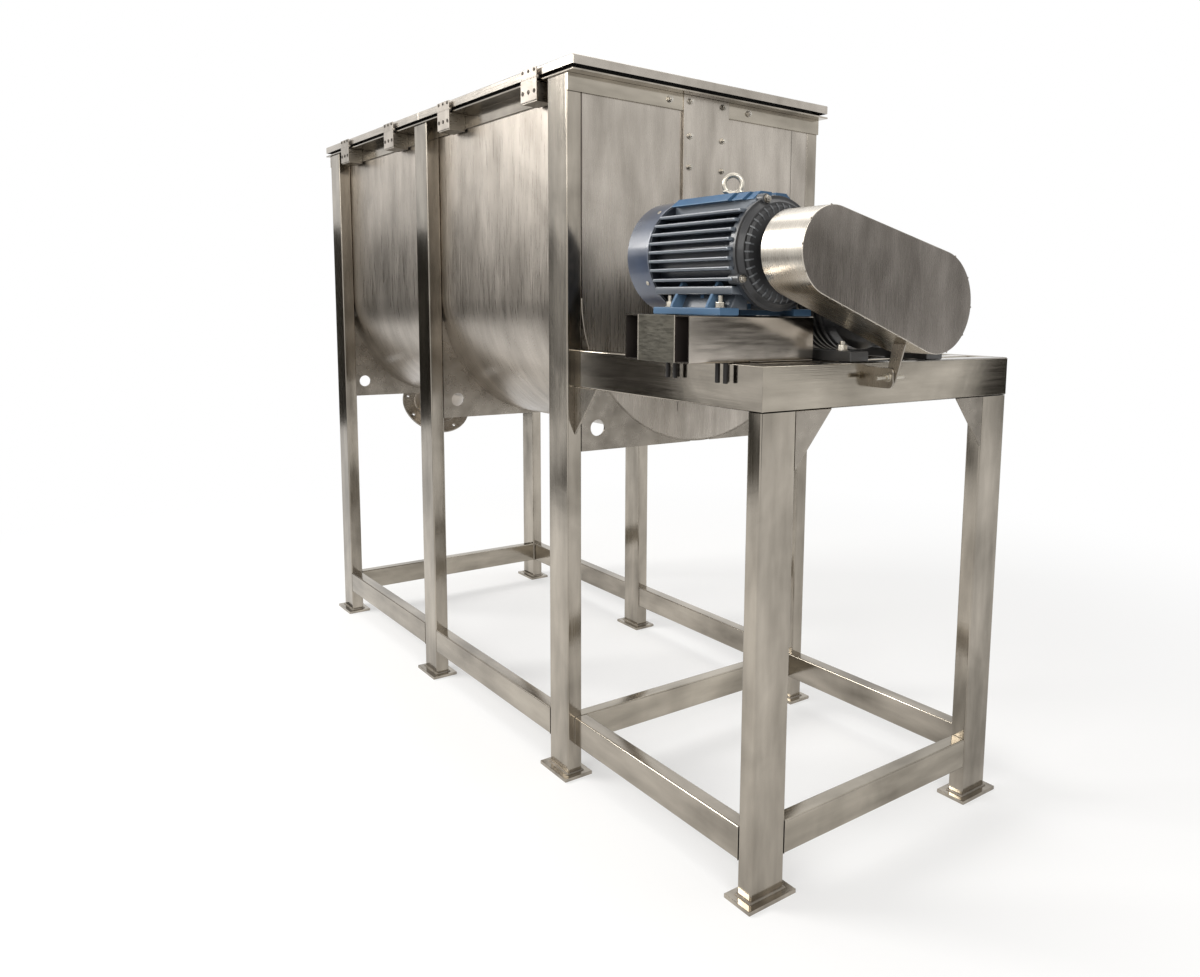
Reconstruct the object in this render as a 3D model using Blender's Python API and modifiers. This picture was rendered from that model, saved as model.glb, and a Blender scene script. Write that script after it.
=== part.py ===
"""Horizontal ribbon blender: a jacketless U-trough on a tube frame, two hinged lids,
a double helical ribbon agitator, and a belt and reducer drive on a front table."""
import math

import bmesh
import bpy
from mathutils import Matrix, Vector

# Clearances and shared overrun of every cut
gap = 0.0003
overrun = 0.02
turn = math.tau

# Frame tubes (X runs from the rear legs to the drive end, Y = 0 is the trough's centre plane)
frame_width = 0.914
trough_length = 1.894
mid_leg_share = 0.5206
leg_wide = 0.100
leg_thin = 0.045
tube_wall = 0.003
foot_overhang = 0.021
foot_thick = 0.010
low_rail_bottom = 0.092
low_rail_deep = 0.080
low_rail_thin = 0.040

# Drive table
table_long = 0.747
table_inset = 0.022
rail_deep = 0.100
rail_thin = 0.050
rear_beam_back = 0.341
front_beam_back = 0.141
gusset_long = 0.130
gusset_reach = 0.110
gusset_thick = 0.006

# Trough
shaft_height = 1.340
shell_thick = 0.004
end_thick = 0.006
cradle_thick = 0.006
cradle_lip = 0.002
cradle_top_wide = 0.008
cradle_tip_half = 0.038
cradle_hole_radius = 0.023
cradle_hole_inset = 0.052
cradle_hole_rise = 0.060
rear_cradle_x = 0.047
arc_steps = 40
strip_half = 0.083
strip_thick = 0.008
strip_below_shaft = 0.150

# Rim angle and bridge bar
rim_rise = 0.579
rim_thick = 0.005
rim_overhang_end = 0.039
rim_overhang_side = 0.005
rim_drop = 0.050
bridge_wide = 0.060
bridge_deep = 0.040

# Lids, gasket and hinges
lid_rise = 0.034
lid_sheet = 0.003
skirt_drop = 0.024
lid_split_gap = 0.004
gasket_wide = 0.024
gasket_inset = 0.006
hinge_shares = ((0.238, 0.737), (0.235, 0.818))
hinge_wide = 0.088
bracket_drop = 0.058
leaf_thick = 0.003
leaf_high = 0.022
knuckle_radius = 0.005
hinge_pin_radius = 0.003
knuckles = 5
handle_wide = 0.140
handle_reach = 0.045
handle_radius = 0.006

# Agitator
shaft_radius = 0.040
journal_radius = 0.030
journal_inset = 0.012
ribbon_clearance = 0.0057
outer_ribbon_deep = 0.055
ribbon_spacing = 0.152
inner_ribbon_deep = 0.045
ribbon_thick = 0.008
ribbon_end_gap = 0.047
ribbon_half_pitches = 3
ribbon_steps = 36
spoke_radius = 0.020
round_steps = 32

# Bearings, seals and coupling
seal_radius = 0.058
seal_flange_radius = 0.075
seal_flange_thick = 0.010
bearing_half = 0.078
bearing_flange_thick = 0.020
bearing_hub_radius = 0.062
bearing_hub_long = 0.055
shaft_rear_end = -0.105
coupling_reach = 0.096
coupling_hub_radius = 0.050
coupling_flange_radius = 0.085
coupling_hub_long = 0.060
coupling_flange_thick = 0.022
output_shaft_radius = 0.027

# Reducer
reducer_centre_height = 0.1357
reducer_back = 0.396
reducer_long = 0.367
reducer_foot_casing_long = 0.150
reducer_ring_long = 0.095
reducer_radius = 0.116
reducer_ring_radius = 0.121
reducer_nose_radius = 0.070
reducer_foot_inner = 0.105
reducer_foot_outer = 0.166
reducer_foot_thick = 0.024
reducer_foot_back = 0.366
reducer_foot_long = 0.360
reducer_pedestal_share = 0.78
input_shaft_radius = 0.018
shaft_seat_depth = 0.060

# Motor base
base_back = 0.091
base_wide = 0.232
base_tube_thin = 0.050
base_tube_deep = 0.100
base_near_reach = 0.215
base_far_reach = 0.143

# Motor
motor_y = -0.343
motor_shaft_rise = 0.132
motor_back = 0.035
motor_long = 0.413
motor_radius = 0.132
motor_core_radius = 0.106
fin_thick = 0.0045
fin_count = 9
top_fin_count = 5
shield_thick = 0.034
shield_radius = 0.122
fan_cover_long = 0.092
fan_cover_radius = 0.132
fan_cover_sheet = 0.003
fan_radius = 0.112
fan_blades = 6
foot_bolt_x_span = 0.178
foot_bolt_y_span = 0.216
foot_bolt_front = 0.086
foot_bolt_radius = 0.006
foot_bar_half = 0.119
foot_bar_wide = 0.055
foot_bar_thick = 0.016
stud_tail = 0.044
stud_above_foot = 0.026
nut_radius = 0.010
nut_high = 0.010
motor_shaft_radius = 0.019
eye_ring_radius = 0.020
eye_wire_radius = 0.006
eye_collar_radius = 0.013
eye_turn = math.radians(51)
terminal_long = 0.105
terminal_high = 0.090
terminal_deep = 0.060

# Belt drive and guard
pulley_reach = 0.001
pulley_long = 0.048
motor_pulley_radius = 0.066
reducer_pulley_radius = 0.090
belt_deep = 0.010
belt_outer_width = 0.013
belt_inner_width = 0.008
belt_pitch = 0.019
belt_proud = 0.001
guard_reach = 0.105
guard_deep = 0.120
guard_sheet = 0.002
guard_motor_radius = 0.092
guard_reducer_radius = 0.116
strap_y = -0.087
strap_thick = 0.004
strap_wide = 0.036
strap_drop = 0.053
strap_reach = 0.027
strap_lean = 0.022
strap_bolt_radius = 0.005
strap_bolt_rise = 0.020
strap_bolt_half = 0.046
lug_thick = 0.006

# Discharge spout
spout_face_x = -0.053
spout_drop = 0.0653
spout_tilt = math.radians(39)
spout_radius = 0.098
spout_wall = 0.004
spout_flange_radius = 0.152
spout_flange_thick = 0.010
spout_hole_circle = 0.130
spout_hole_radius = 0.007
spout_holes = 8

# Derived sizes
half_width = frame_width / 2
shell_radius = half_width - leg_thin - gap
shell_inside = shell_radius - shell_thick
mid_leg_front = trough_length * mid_leg_share
table_front = trough_length + table_long
table_top = shaft_height - reducer_centre_height - gap
rim_top = shaft_height + rim_rise
lid_top = rim_top + lid_rise
lid_split = mid_leg_front - leg_wide / 2
front_lid_long = trough_length - lid_split
hinge_centres = ([share * lid_split for share in hinge_shares[0]]
                 + [lid_split + share * front_lid_long for share in hinge_shares[1]])
bracket_bottom = rim_top - bracket_drop
cradle_bottom = shaft_height - shell_radius - gap
rear_beam_x = table_front - rear_beam_back
front_beam_x = table_front - front_beam_back
outer_ribbon_radius = shell_inside - ribbon_clearance
inner_ribbon_radius = outer_ribbon_radius - ribbon_spacing
ribbon_pitch = (trough_length - 2 * ribbon_end_gap) / ribbon_half_pitches
coupling_start = trough_length + coupling_reach
reducer_start = table_front - reducer_back
reducer_front = reducer_start + reducer_long
reducer_foot_start = table_front - reducer_foot_back
reducer_foot_end = reducer_foot_start + reducer_foot_long
base_front_x = table_front - base_back
base_near_y = motor_y - base_near_reach
base_far_y = motor_y + base_far_reach
motor_front = table_front - motor_back
stud_bottom = table_top - stud_tail
pulley_start = table_front + pulley_reach
guard_front = table_front + guard_reach
strap_bottom = table_top - strap_drop
strap_bottom_x = table_front + strap_reach
spout_face_z = shaft_height - shell_radius - spout_drop
leg_top = rim_top - rim_thick - gap
rail_bottom = table_top - rail_deep
table_half = half_width - table_inset
skirt_bottom = lid_top - skirt_drop
lid_half = half_width + rim_overhang_side
leaf_face = -(lid_half + 2 * gap)
hinge_y = leaf_face - knuckle_radius
hinge_z = skirt_bottom - gap - knuckle_radius
base_bottom = table_top + gap
base_top = base_bottom + base_tube_deep
motor_z = base_top + gap + motor_shaft_rise
motor_rear = motor_front - motor_long
foot_top = base_top + gap + foot_bar_thick
bolt_front_x = motor_front - foot_bolt_front
bolt_rear_x = bolt_front_x - foot_bolt_x_span
centre_x = trough_length / 2
ribbon_half_length = ribbon_pitch * ribbon_half_pitches / 2

# The part's origin is the middle of its footprint on the floor
rear_reach = (spout_face_x - spout_flange_radius * math.sin(spout_tilt)
              - spout_flange_thick * math.cos(spout_tilt))
origin_x = (guard_front + rear_reach) / 2
far_reach = lid_half + gap + handle_reach + handle_radius
origin_y = (base_near_y + far_reach) / 2

for old in list(bpy.data.objects):
    bpy.data.objects.remove(old)

blender_parts = bpy.data.collections.new("ribbon_blender")
cutter_parts = bpy.data.collections.new("cutters")
bpy.context.scene.collection.children.link(blender_parts)
bpy.context.scene.collection.children.link(cutter_parts)

datum = bpy.data.objects.new("machine_datum", None)
datum.location = (-origin_x, -origin_y, 0)
blender_parts.objects.link(datum)


def finish(name, colour, roughness, metallic):
    material = bpy.data.materials.new(name)
    material.use_nodes = True
    shader = material.node_tree.nodes["Principled BSDF"]
    shader.inputs["Base Color"].default_value = (*colour, 1)
    shader.inputs["Roughness"].default_value = roughness
    shader.inputs["Metallic"].default_value = metallic
    return material


satin_steel = finish("satin_steel", (0.50, 0.46, 0.41), 0.30, 1.0)
polished_steel = finish("polished_steel", (0.62, 0.58, 0.52), 0.15, 1.0)
blue_paint = finish("blue_paint", (0.02, 0.07, 0.20), 0.35, 0.0)
black_paint = finish("black_paint", (0.02, 0.02, 0.02), 0.45, 0.0)
zinc_plate = finish("zinc_plate", (0.60, 0.57, 0.50), 0.35, 1.0)
cast_iron = finish("cast_iron", (0.10, 0.10, 0.10), 0.60, 1.0)
black_rubber = finish("black_rubber", (0.02, 0.02, 0.02), 0.80, 0.0)
white_seal = finish("white_seal", (0.75, 0.75, 0.72), 0.60, 0.0)


def place(name, mesh, material, location=(0, 0, 0), rotation=(0, 0, 0)):
    piece = bpy.data.objects.new(name, mesh)
    blender_parts.objects.link(piece)
    piece.parent = datum
    piece.location = location
    piece.rotation_euler = rotation
    if material:
        mesh.materials.append(material)
    return piece


def as_cutter(piece):
    blender_parts.objects.unlink(piece)
    cutter_parts.objects.link(piece)
    piece.hide_render = True
    piece.hide_viewport = False
    piece.display_type = "WIRE"
    return piece


def box(name, low, high, material=None):
    """A block between two corners; its origin is its centre."""
    size = [h - l for l, h in zip(low, high)]
    centre = [(l + h) / 2 for l, h in zip(low, high)]
    shape = bmesh.new()
    bmesh.ops.create_cube(shape, size=1, matrix=Matrix.Diagonal((*size, 1)))
    mesh = bpy.data.meshes.new(name)
    shape.to_mesh(mesh)
    shape.free()
    return place(name, mesh, material, centre)


facing = {"X": (0, math.pi / 2, 0), "Y": (-math.pi / 2, 0, 0), "Z": (0, 0, 0)}


def rod(name, radius, start, length, axis, material=None, steps=round_steps):
    """A round bar from start along an axis; its origin is on its axis."""
    shape = bmesh.new()
    bmesh.ops.create_cone(shape, cap_ends=True, segments=steps, radius1=radius, radius2=radius,
                          depth=length, matrix=Matrix.Translation((0, 0, length / 2)))
    mesh = bpy.data.meshes.new(name)
    shape.to_mesh(mesh)
    shape.free()
    mesh.shade_smooth()
    mesh.set_sharp_from_angle(angle=math.radians(40))
    return place(name, mesh, material, start, facing[axis])


def turned(name, profile, start, material=None, steps=round_steps):
    """A piece turned about X: profile holds (distance along X, radius) from start."""
    shape = bmesh.new()
    points = [shape.verts.new((radius, 0, along)) for along, radius in reversed(profile)]
    for first, second in zip(points, points[1:]):
        shape.edges.new((first, second))
    if profile[0] == profile[-1]:
        bmesh.ops.remove_doubles(shape, verts=shape.verts, dist=gap / 10)
    mesh = bpy.data.meshes.new(name)
    shape.to_mesh(mesh)
    shape.free()
    piece = place(name, mesh, material, start, facing["X"])
    screw = piece.modifiers.new("turn", "SCREW")
    screw.steps = steps
    screw.render_steps = steps
    screw.use_merge_vertices = True
    screw.merge_threshold = gap / 10
    screw.use_smooth_shade = True
    return piece


plane_turns = {"X": (math.pi / 2, 0, math.pi / 2), "Y": (math.pi / 2, 0, 0), "Z": (0, 0, 0)}


def plate(name, outlines, thick, start, normal, material=None):
    """A flat plate: outlines are closed rings of points, in (Y, Z), (X, Z) or (X, Y)."""
    curve = bpy.data.curves.new(name, "CURVE")
    curve.dimensions = "2D"
    curve.fill_mode = "BOTH"
    curve.extrude = thick / 2
    for outline in outlines:
        spline = curve.splines.new("POLY")
        spline.points.add(len(outline) - 1)
        for point, (across, up) in zip(spline.points, outline):
            point.co = (across, up, 0, 1)
        spline.use_cyclic_u = True
    drawn = bpy.data.objects.new(name + "_outline", curve)
    blender_parts.objects.link(drawn)
    bpy.context.view_layer.update()
    mesh = bpy.data.meshes.new_from_object(drawn.evaluated_get(bpy.context.evaluated_depsgraph_get()))
    bpy.data.objects.remove(drawn)
    shape = bmesh.new()
    shape.from_mesh(mesh)
    bmesh.ops.remove_doubles(shape, verts=shape.verts, dist=gap / 10)
    bmesh.ops.recalc_face_normals(shape, faces=shape.faces)
    shape.to_mesh(mesh)
    shape.free()
    mesh.name = name
    mesh.materials.clear()
    middle = {"X": (start + thick / 2, 0, 0), "Y": (0, start + thick / 2, 0), "Z": (0, 0, start + thick / 2)}
    return place(name, mesh, material, middle[normal], plane_turns[normal])


def rectangle(low, high):
    return [(low[0], low[1]), (high[0], low[1]), (high[0], high[1]), (low[0], high[1])]


def circle(centre, radius, steps=round_steps):
    return [(centre[0] + radius * math.cos(turn * i / steps), centre[1] + radius * math.sin(turn * i / steps))
            for i in range(steps)]


def boolean(piece, tool, operation):
    step = piece.modifiers.new(operation.lower(), "BOOLEAN")
    step.operation = operation
    step.solver = "EXACT"
    step.object = as_cutter(tool) if tool.name not in cutter_parts.objects else tool
    return piece


def cut(piece, tool):
    return boolean(piece, tool, "DIFFERENCE")


def join(piece, tool):
    return boolean(piece, tool, "UNION")


def gather(name, pieces, material=None):
    """Several solids in one mesh, to join or cut in one step."""
    shape = bmesh.new()
    bpy.context.view_layer.update()
    graph = bpy.context.evaluated_depsgraph_get()
    back = datum.matrix_world.inverted()
    for piece in pieces:
        mesh = bpy.data.meshes.new_from_object(piece.evaluated_get(graph))
        mesh.transform(back @ piece.matrix_world)
        shape.from_mesh(mesh)
        bpy.data.meshes.remove(mesh)
        bpy.data.objects.remove(piece)
    mesh = bpy.data.meshes.new(name)
    shape.to_mesh(mesh)
    shape.free()
    return place(name, mesh, material)


def hollow(piece, low, high, axis, wall, open_low=True, open_high=True):
    """Bores a square tube along one axis, closed where an end is not open."""
    inner_low = [value + wall for value in low]
    inner_high = [value - wall for value in high]
    inner_low[axis] = low[axis] - overrun if open_low else low[axis]
    inner_high[axis] = high[axis] + overrun if open_high else high[axis]
    return cut(piece, box(piece.name + "_bore", inner_low, inner_high))


def tube(name, low, high, axis, material=satin_steel):
    return hollow(box(name, low, high, material), low, high, axis, tube_wall)


def leg(name, low_x, low_y, wide_x, wide_y, top, material=satin_steel):
    """An upright tube, open at its top, on its welded foot plate."""
    low = (low_x, low_y, 0)
    high = (low_x + wide_x, low_y + wide_y, top)
    piece = box(name, low, high, material)
    join(piece, box(name + "_foot", (low_x - foot_overhang, low_y - foot_overhang, 0),
                    (high[0] + foot_overhang, high[1] + foot_overhang, foot_thick)))
    bore_low = (low_x, low_y, foot_thick)
    return hollow(piece, bore_low, high, 2, tube_wall, open_low=False)


# Legs and foot plates
sides = (("left", -1), ("right", 1))
stations = (("rear", leg_wide), ("mid", mid_leg_front), ("front", trough_length))
legs = {}
for side, sign in sides:
    low_y = -half_width if sign < 0 else half_width - leg_thin
    for station, front in stations:
        legs[f"{station}_{side}"] = leg(f"trough_leg_{station}_{side}", front - leg_wide, low_y,
                                        leg_wide, leg_thin, leg_top)
    low_y = -table_half if sign < 0 else table_half - leg_wide
    legs[f"table_{side}"] = leg(f"table_leg_{side}", table_front - leg_thin, low_y,
                                leg_thin, leg_wide, rail_bottom - gap)

# Lower rails between the legs
rail_low = low_rail_bottom
rail_high = low_rail_bottom + low_rail_deep
spans = (("rear", leg_wide, mid_leg_front - leg_wide), ("mid", mid_leg_front, trough_length - leg_wide),
         ("front", trough_length, table_front - leg_thin))
for side, sign in sides:
    for span, start, end in spans:
        outer = half_width if span != "front" else table_half
        low_y = -outer if sign < 0 else outer - low_rail_thin
        tube(f"low_rail_{span}_{side}", (start + gap, low_y, rail_low),
             (end - gap, low_y + low_rail_thin, rail_high), 0)
inner_y = half_width - leg_thin - gap
for name, low_x in (("rear", leg_wide - low_rail_thin), ("front", trough_length - low_rail_thin)):
    tube(f"cross_rail_{name}", (low_x, -inner_y, rail_low), (low_x + low_rail_thin, inner_y, rail_high), 1)
inner_y = table_half - leg_wide - gap
tube("cross_rail_table", (table_front - low_rail_thin, -inner_y, rail_low),
     (table_front, inner_y, rail_high), 1)

# Table: side rails, front rail and two cross beams, welded in one frame
table_frame = box("table_frame", (table_front - rail_thin, -table_half, rail_bottom),
                  (table_front, table_half, table_top), satin_steel)
for side, sign in sides:
    low_y = -table_half if sign < 0 else table_half - rail_thin
    join(table_frame, box(f"table_rail_{side}", (trough_length + gap, low_y, rail_bottom),
                          (table_front - rail_thin / 2, low_y + rail_thin, table_top)))
inner_y = table_half - rail_thin / 2
for name, low_x in (("rear", rear_beam_x), ("front", front_beam_x)):
    join(table_frame, box(f"table_beam_{name}", (low_x, -inner_y, rail_bottom),
                          (low_x + rail_thin, inner_y, table_top)))

# Corner gussets, welded to the legs they brace
top = rail_bottom - gap
for side, sign in sides:
    edge = sign * (table_half - leg_wide + tube_wall / 2)
    reach = gusset_reach + tube_wall / 2
    join(legs[f"table_{side}"],
         plate(f"table_gusset_{side}", [[(edge, top), (edge - sign * reach, top), (edge, top - gusset_long)]],
               gusset_thick, table_front - gusset_thick, "X"))
    near = sign * table_half
    start_x = trough_length - tube_wall / 2
    join(legs[f"front_{side}"],
         plate(f"rail_gusset_{side}",
               [[(start_x, top), (start_x + reach, top), (start_x, top - gusset_long)]],
               gusset_thick, min(near, near - sign * gusset_thick), "Y"))


def u_outline(radius, top, steps=arc_steps):
    """The trough's section: a half circle about the shaft with upright sides."""
    angles = [math.pi * (i / steps - 0.5) for i in range(steps + 1)]
    low = [(radius * math.sin(angle), shaft_height - radius * math.cos(angle)) for angle in angles]
    return [(-radius, top)] + low + [(radius, top)]


# Discharge spout: an oblique pipe with a drilled flange, let into the trough's rear corner
spout_along = Vector((math.cos(spout_tilt), 0, math.sin(spout_tilt)))
spout_face = Vector((spout_face_x, 0, spout_face_z)) - spout_along * spout_flange_thick
spout_turn = (0, math.pi / 2 - spout_tilt, 0)


def spout_rod(name, radius, start, length, material=None, steps=round_steps):
    piece = rod(name, radius, spout_face + spout_along * start, length, "X", material, steps)
    piece.rotation_euler = spout_turn
    return piece


pipe_long = spout_radius * 4
spout_bore = as_cutter(spout_rod("spout_bore", spout_radius - spout_wall, -overrun, pipe_long))

# Trough: a welded tank of bent sheet and two end plates, with the bridge bar under the lids' split
seal_hole = seal_radius + gap
shell = plate("trough_shell", [u_outline(shell_radius, rim_top)], trough_length, 0, "X", satin_steel)
cut(shell, plate("trough_inside", [u_outline(shell_inside, rim_top + overrun)], trough_length - 2 * end_thick,
                 end_thick, "X"))
cut(shell, rod("seal_holes", seal_hole, (-overrun, 0, shaft_height), trough_length + 2 * overrun, "X"))
bridge_x = lid_split + lid_split_gap / 2 - bridge_wide / 2
bridge_half = shell_inside + shell_thick / 2
join(shell, box("bridge_bar", (bridge_x, -bridge_half, rim_top - bridge_deep),
                (bridge_x + bridge_wide, bridge_half, rim_top)))
cut(shell, spout_bore)

# The spout is trimmed to the outside of the trough
trough_body = plate("trough_envelope", [u_outline(shell_radius + gap, rim_top)], trough_length + 2 * overrun,
                    -gap, "X")
spout = spout_rod("discharge_spout", spout_flange_radius, 0, spout_flange_thick, satin_steel)
join(spout, spout_rod("spout_pipe", spout_radius, spout_flange_thick / 2, pipe_long))
cut(spout, trough_body)
cut(spout, spout_bore)
across = Vector((0, 1, 0))
raised = spout_along.cross(across)
holes = []
for i in range(spout_holes):
    angle = turn * (i + 0.5) / spout_holes
    offset = (across * math.cos(angle) + raised * math.sin(angle)) * spout_hole_circle
    hole = rod(f"spout_hole_{i}", spout_hole_radius, spout_face + offset - spout_along * overrun,
               spout_flange_thick + overrun * 2, "X", steps=10)
    hole.rotation_euler = spout_turn
    holes.append(hole)
cut(spout, gather("spout_holes", holes))

# Cradle plates that carry the trough, each welded to its leg
pipe_clear = as_cutter(spout_rod("pipe_clear", spout_radius + gap, -overrun, pipe_long))
saddle = shell_radius + gap
cradle_edge = half_width - leg_thin + tube_wall / 2
tip_angle = math.asin(cradle_tip_half / saddle)
top_angle = math.asin((half_width - leg_thin - cradle_top_wide) / saddle)
for station, start in (("rear", rear_cradle_x), ("mid", mid_leg_front - cradle_thick),
                       ("front", trough_length - cradle_thick)):
    for side, sign in sides:
        arc = [tip_angle + (top_angle - tip_angle) * 2 * i / arc_steps for i in range(arc_steps // 2 + 1)]
        outline = [(sign * saddle * math.sin(a), shaft_height - saddle * math.cos(a)) for a in arc]
        outline += [(sign * cradle_edge, outline[-1][1]), (sign * cradle_edge, cradle_bottom - cradle_lip),
                    (outline[0][0], cradle_bottom - cradle_lip)]
        hole = circle((sign * (cradle_edge - cradle_hole_inset), cradle_bottom + cradle_hole_rise),
                      cradle_hole_radius, 20)
        join(legs[f"{station}_{side}"],
             plate(f"cradle_{station}_{side}", [outline, hole], cradle_thick, start, "X"))
        if station == "rear":
            cut(legs[f"{station}_{side}"], pipe_clear)


# Rim angle: a flat flange round the trough's mouth with its upright leg turned down
def frame_ring(name, low, high, border_low, border_high, material=None):
    """A flat rectangular ring; the borders are how far each side reaches in."""
    ring = box(name, low, high, material)
    return cut(ring, box(name + "_mouth", (low[0] + border_low[0], low[1] + border_low[1], low[2] - overrun),
                         (high[0] - border_high[0], high[1] - border_high[1], high[2] + overrun)))


rim_under = rim_top - rim_thick
mouth_half = shell_radius + gap
rim = frame_ring("rim_frame", (-rim_overhang_end, -lid_half, rim_under),
                 (trough_length + rim_overhang_end, lid_half, rim_top),
                 (rim_overhang_end - gap, lid_half - mouth_half),
                 (rim_overhang_end - gap, lid_half - mouth_half), satin_steel)
drop_low = rim_top - rim_drop
upright = []
for name, start in (("rear", -gap - rim_thick), ("front", trough_length + gap)):
    upright.append(box(f"rim_{name}", (start, -half_width, drop_low),
                       (start + rim_thick, half_width, rim_top - gap)))
for side, sign in sides:
    low_y = -mouth_half - rim_thick if sign < 0 else mouth_half
    for span, start, end in (("rear", leg_wide, mid_leg_front - leg_wide),
                             ("front", mid_leg_front, trough_length - leg_wide)):
        upright.append(box(f"rim_{span}_{side}", (start + gap, low_y, drop_low),
                           (end - gap, low_y + rim_thick, rim_top - gap)))
join(rim, gather("rim_uprights", upright))

# Sponge gasket on the rim, one ring for each lid
lid_under = lid_top - lid_sheet
lid_spans = (("rear", -rim_overhang_end, lid_split), ("front", lid_split + lid_split_gap,
                                                    trough_length + rim_overhang_end))
for name, start, end in lid_spans:
    rear_inset = rim_overhang_end - gasket_wide / 2 if name == "rear" else gasket_inset - lid_split_gap / 2
    front_inset = rim_overhang_end - gasket_wide / 2 if name == "front" else gasket_inset - lid_split_gap / 2
    side_inset = lid_half - mouth_half - gasket_inset
    frame_ring(f"{name}_lid_gasket", (start + rear_inset, -lid_half + side_inset, rim_top + gap),
               (end - front_inset, lid_half - side_inset, lid_under - gap),
               (gasket_wide, gasket_wide), (gasket_wide, gasket_wide), black_rubber)

# Lids: folded pans with two hinge leaves each and a pull handle on the far skirt
knuckle_long = hinge_wide / knuckles


def hinge_knuckles(name, centre, first, radius=knuckle_radius):
    pieces = []
    for i in range(first, knuckles, 2):
        start = centre - hinge_wide / 2 + knuckle_long * i + gap
        pieces.append(rod(f"{name}_knuckle_{i}", radius, (start, hinge_y, hinge_z),
                          knuckle_long - 2 * gap, "X", steps=12))
    return pieces


leaf_out = leaf_face - leaf_thick
leaf_clear = knuckle_radius + gap
for name, start, end in lid_spans:
    lid = box(f"{name}_lid", (start, -lid_half, skirt_bottom), (end, lid_half, lid_top), polished_steel)
    cut(lid, box(f"{name}_lid_inside", (start + lid_sheet, -lid_half + lid_sheet, skirt_bottom - overrun),
                 (end - lid_sheet, lid_half - lid_sheet, lid_under)))
    centres = hinge_centres[:2] if name == "rear" else hinge_centres[2:]
    added = []
    for centre in centres:
        added.append(box("lid_leaf", (centre - hinge_wide / 2, leaf_out, hinge_z),
                         (centre + hinge_wide / 2, -lid_half + lid_sheet / 2, hinge_z + leaf_high)))
    join(lid, gather(f"{name}_lid_leaves", added))
    clear = []
    for centre in centres:
        for i in range(0, knuckles, 2):
            low_x = centre - hinge_wide / 2 + knuckle_long * i - gap
            high_x = low_x + knuckle_long + 2 * gap
            clear.append(box("leaf_clear", (low_x, leaf_out - overrun, hinge_z - overrun),
                             (high_x, -lid_half - gap, hinge_z + leaf_clear)))
    cut(lid, gather(f"{name}_leaf_clear", clear))
    barrels = [piece for centre in centres for piece in hinge_knuckles(name, centre, 1)]
    join(lid, gather(f"{name}_lid_knuckles", barrels))
    pins = [rod("pin_bore", hinge_pin_radius + gap, (centre - hinge_wide, hinge_y, hinge_z),
                2 * hinge_wide, "X", steps=12) for centre in centres]
    cut(lid, gather(f"{name}_pin_bores", pins))
    grip_x = (start + end) / 2
    grip_z = lid_top - skirt_drop / 2
    curve = bpy.data.curves.new(f"{name}_lid_handle", "CURVE")
    curve.dimensions = "3D"
    curve.bevel_depth = handle_radius
    curve.bevel_resolution = 2
    curve.use_fill_caps = True
    spline = curve.splines.new("POLY")
    bend = handle_reach / 2
    grip = handle_wide / 2
    half_route = [(grip, 0), (grip, handle_reach - bend), (grip - bend / 3, handle_reach - bend / 3),
                  (grip - bend, handle_reach)]
    route = [(-along, out) for along, out in half_route] + list(reversed(half_route))
    spline.points.add(len(route) - 1)
    for point, (along, out) in zip(spline.points, route):
        point.co = (along, out, 0, 1)
    handle = bpy.data.objects.new(f"{name}_lid_handle", curve)
    blender_parts.objects.link(handle)
    handle.parent = datum
    handle.location = (grip_x, lid_half + gap, grip_z)
    curve.materials.append(polished_steel)

# Hinge brackets under the rim, with the fixed leaf, its knuckles and the pin
for number, centre in enumerate(hinge_centres, 1):
    low_x = centre - hinge_wide / 2
    high_x = centre + hinge_wide / 2
    bracket = box(f"hinge_bracket_{number}", (low_x, leaf_out, bracket_bottom),
                  (high_x, -mouth_half - rim_thick - gap, rim_under - gap), satin_steel)
    join(bracket, box("fixed_leaf", (low_x, leaf_out, bracket_bottom + gap), (high_x, leaf_face, hinge_z)))
    clear = []
    for i in range(1, knuckles, 2):
        start = low_x + knuckle_long * i - gap
        clear.append(box("fixed_clear", (start, leaf_out - overrun, hinge_z - leaf_clear),
                         (start + knuckle_long + 2 * gap, leaf_face + gap, hinge_z + overrun)))
    cut(bracket, gather(f"bracket_clear_{number}", clear))
    for barrel in hinge_knuckles("fixed", centre, 0):
        join(bracket, barrel)
    join(bracket, rod(f"hinge_pin_{number}", hinge_pin_radius, (low_x + 2 * gap, hinge_y, hinge_z),
                      hinge_wide - 4 * gap, "X", steps=12))

# Bolted centre strips that carry the bearings
for name, start in (("rear", -gap - strip_thick), ("front", trough_length + gap)):
    low = shaft_height - strip_below_shaft
    outline = [rectangle((-strip_half, low), (strip_half, drop_low - gap)),
               circle((0, shaft_height), seal_hole)]
    plate(f"{name}_centre_strip", outline, strip_thick, start, "X", satin_steel)

# Shaft seals: a flanged bush through the end plate and strip
for name, inside, out in (("rear", end_thick, -1), ("front", trough_length - end_thick, 1)):
    reach = end_thick + gap + strip_thick
    low = -seal_flange_thick if out > 0 else -reach
    bore = journal_radius + gap
    start_x = inside
    if out > 0:
        profile = [(-seal_flange_thick - gap, bore), (-seal_flange_thick - gap, seal_flange_radius),
                   (-gap, seal_flange_radius), (-gap, seal_radius), (reach, seal_radius), (reach, bore)]
    else:
        profile = [(-reach, bore), (-reach, seal_radius), (gap, seal_radius), (gap, seal_flange_radius),
                   (seal_flange_thick + gap, seal_flange_radius), (seal_flange_thick + gap, bore)]
    turned(f"{name}_shaft_seal", profile + profile[:1], (start_x, 0, shaft_height), white_seal)

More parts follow.
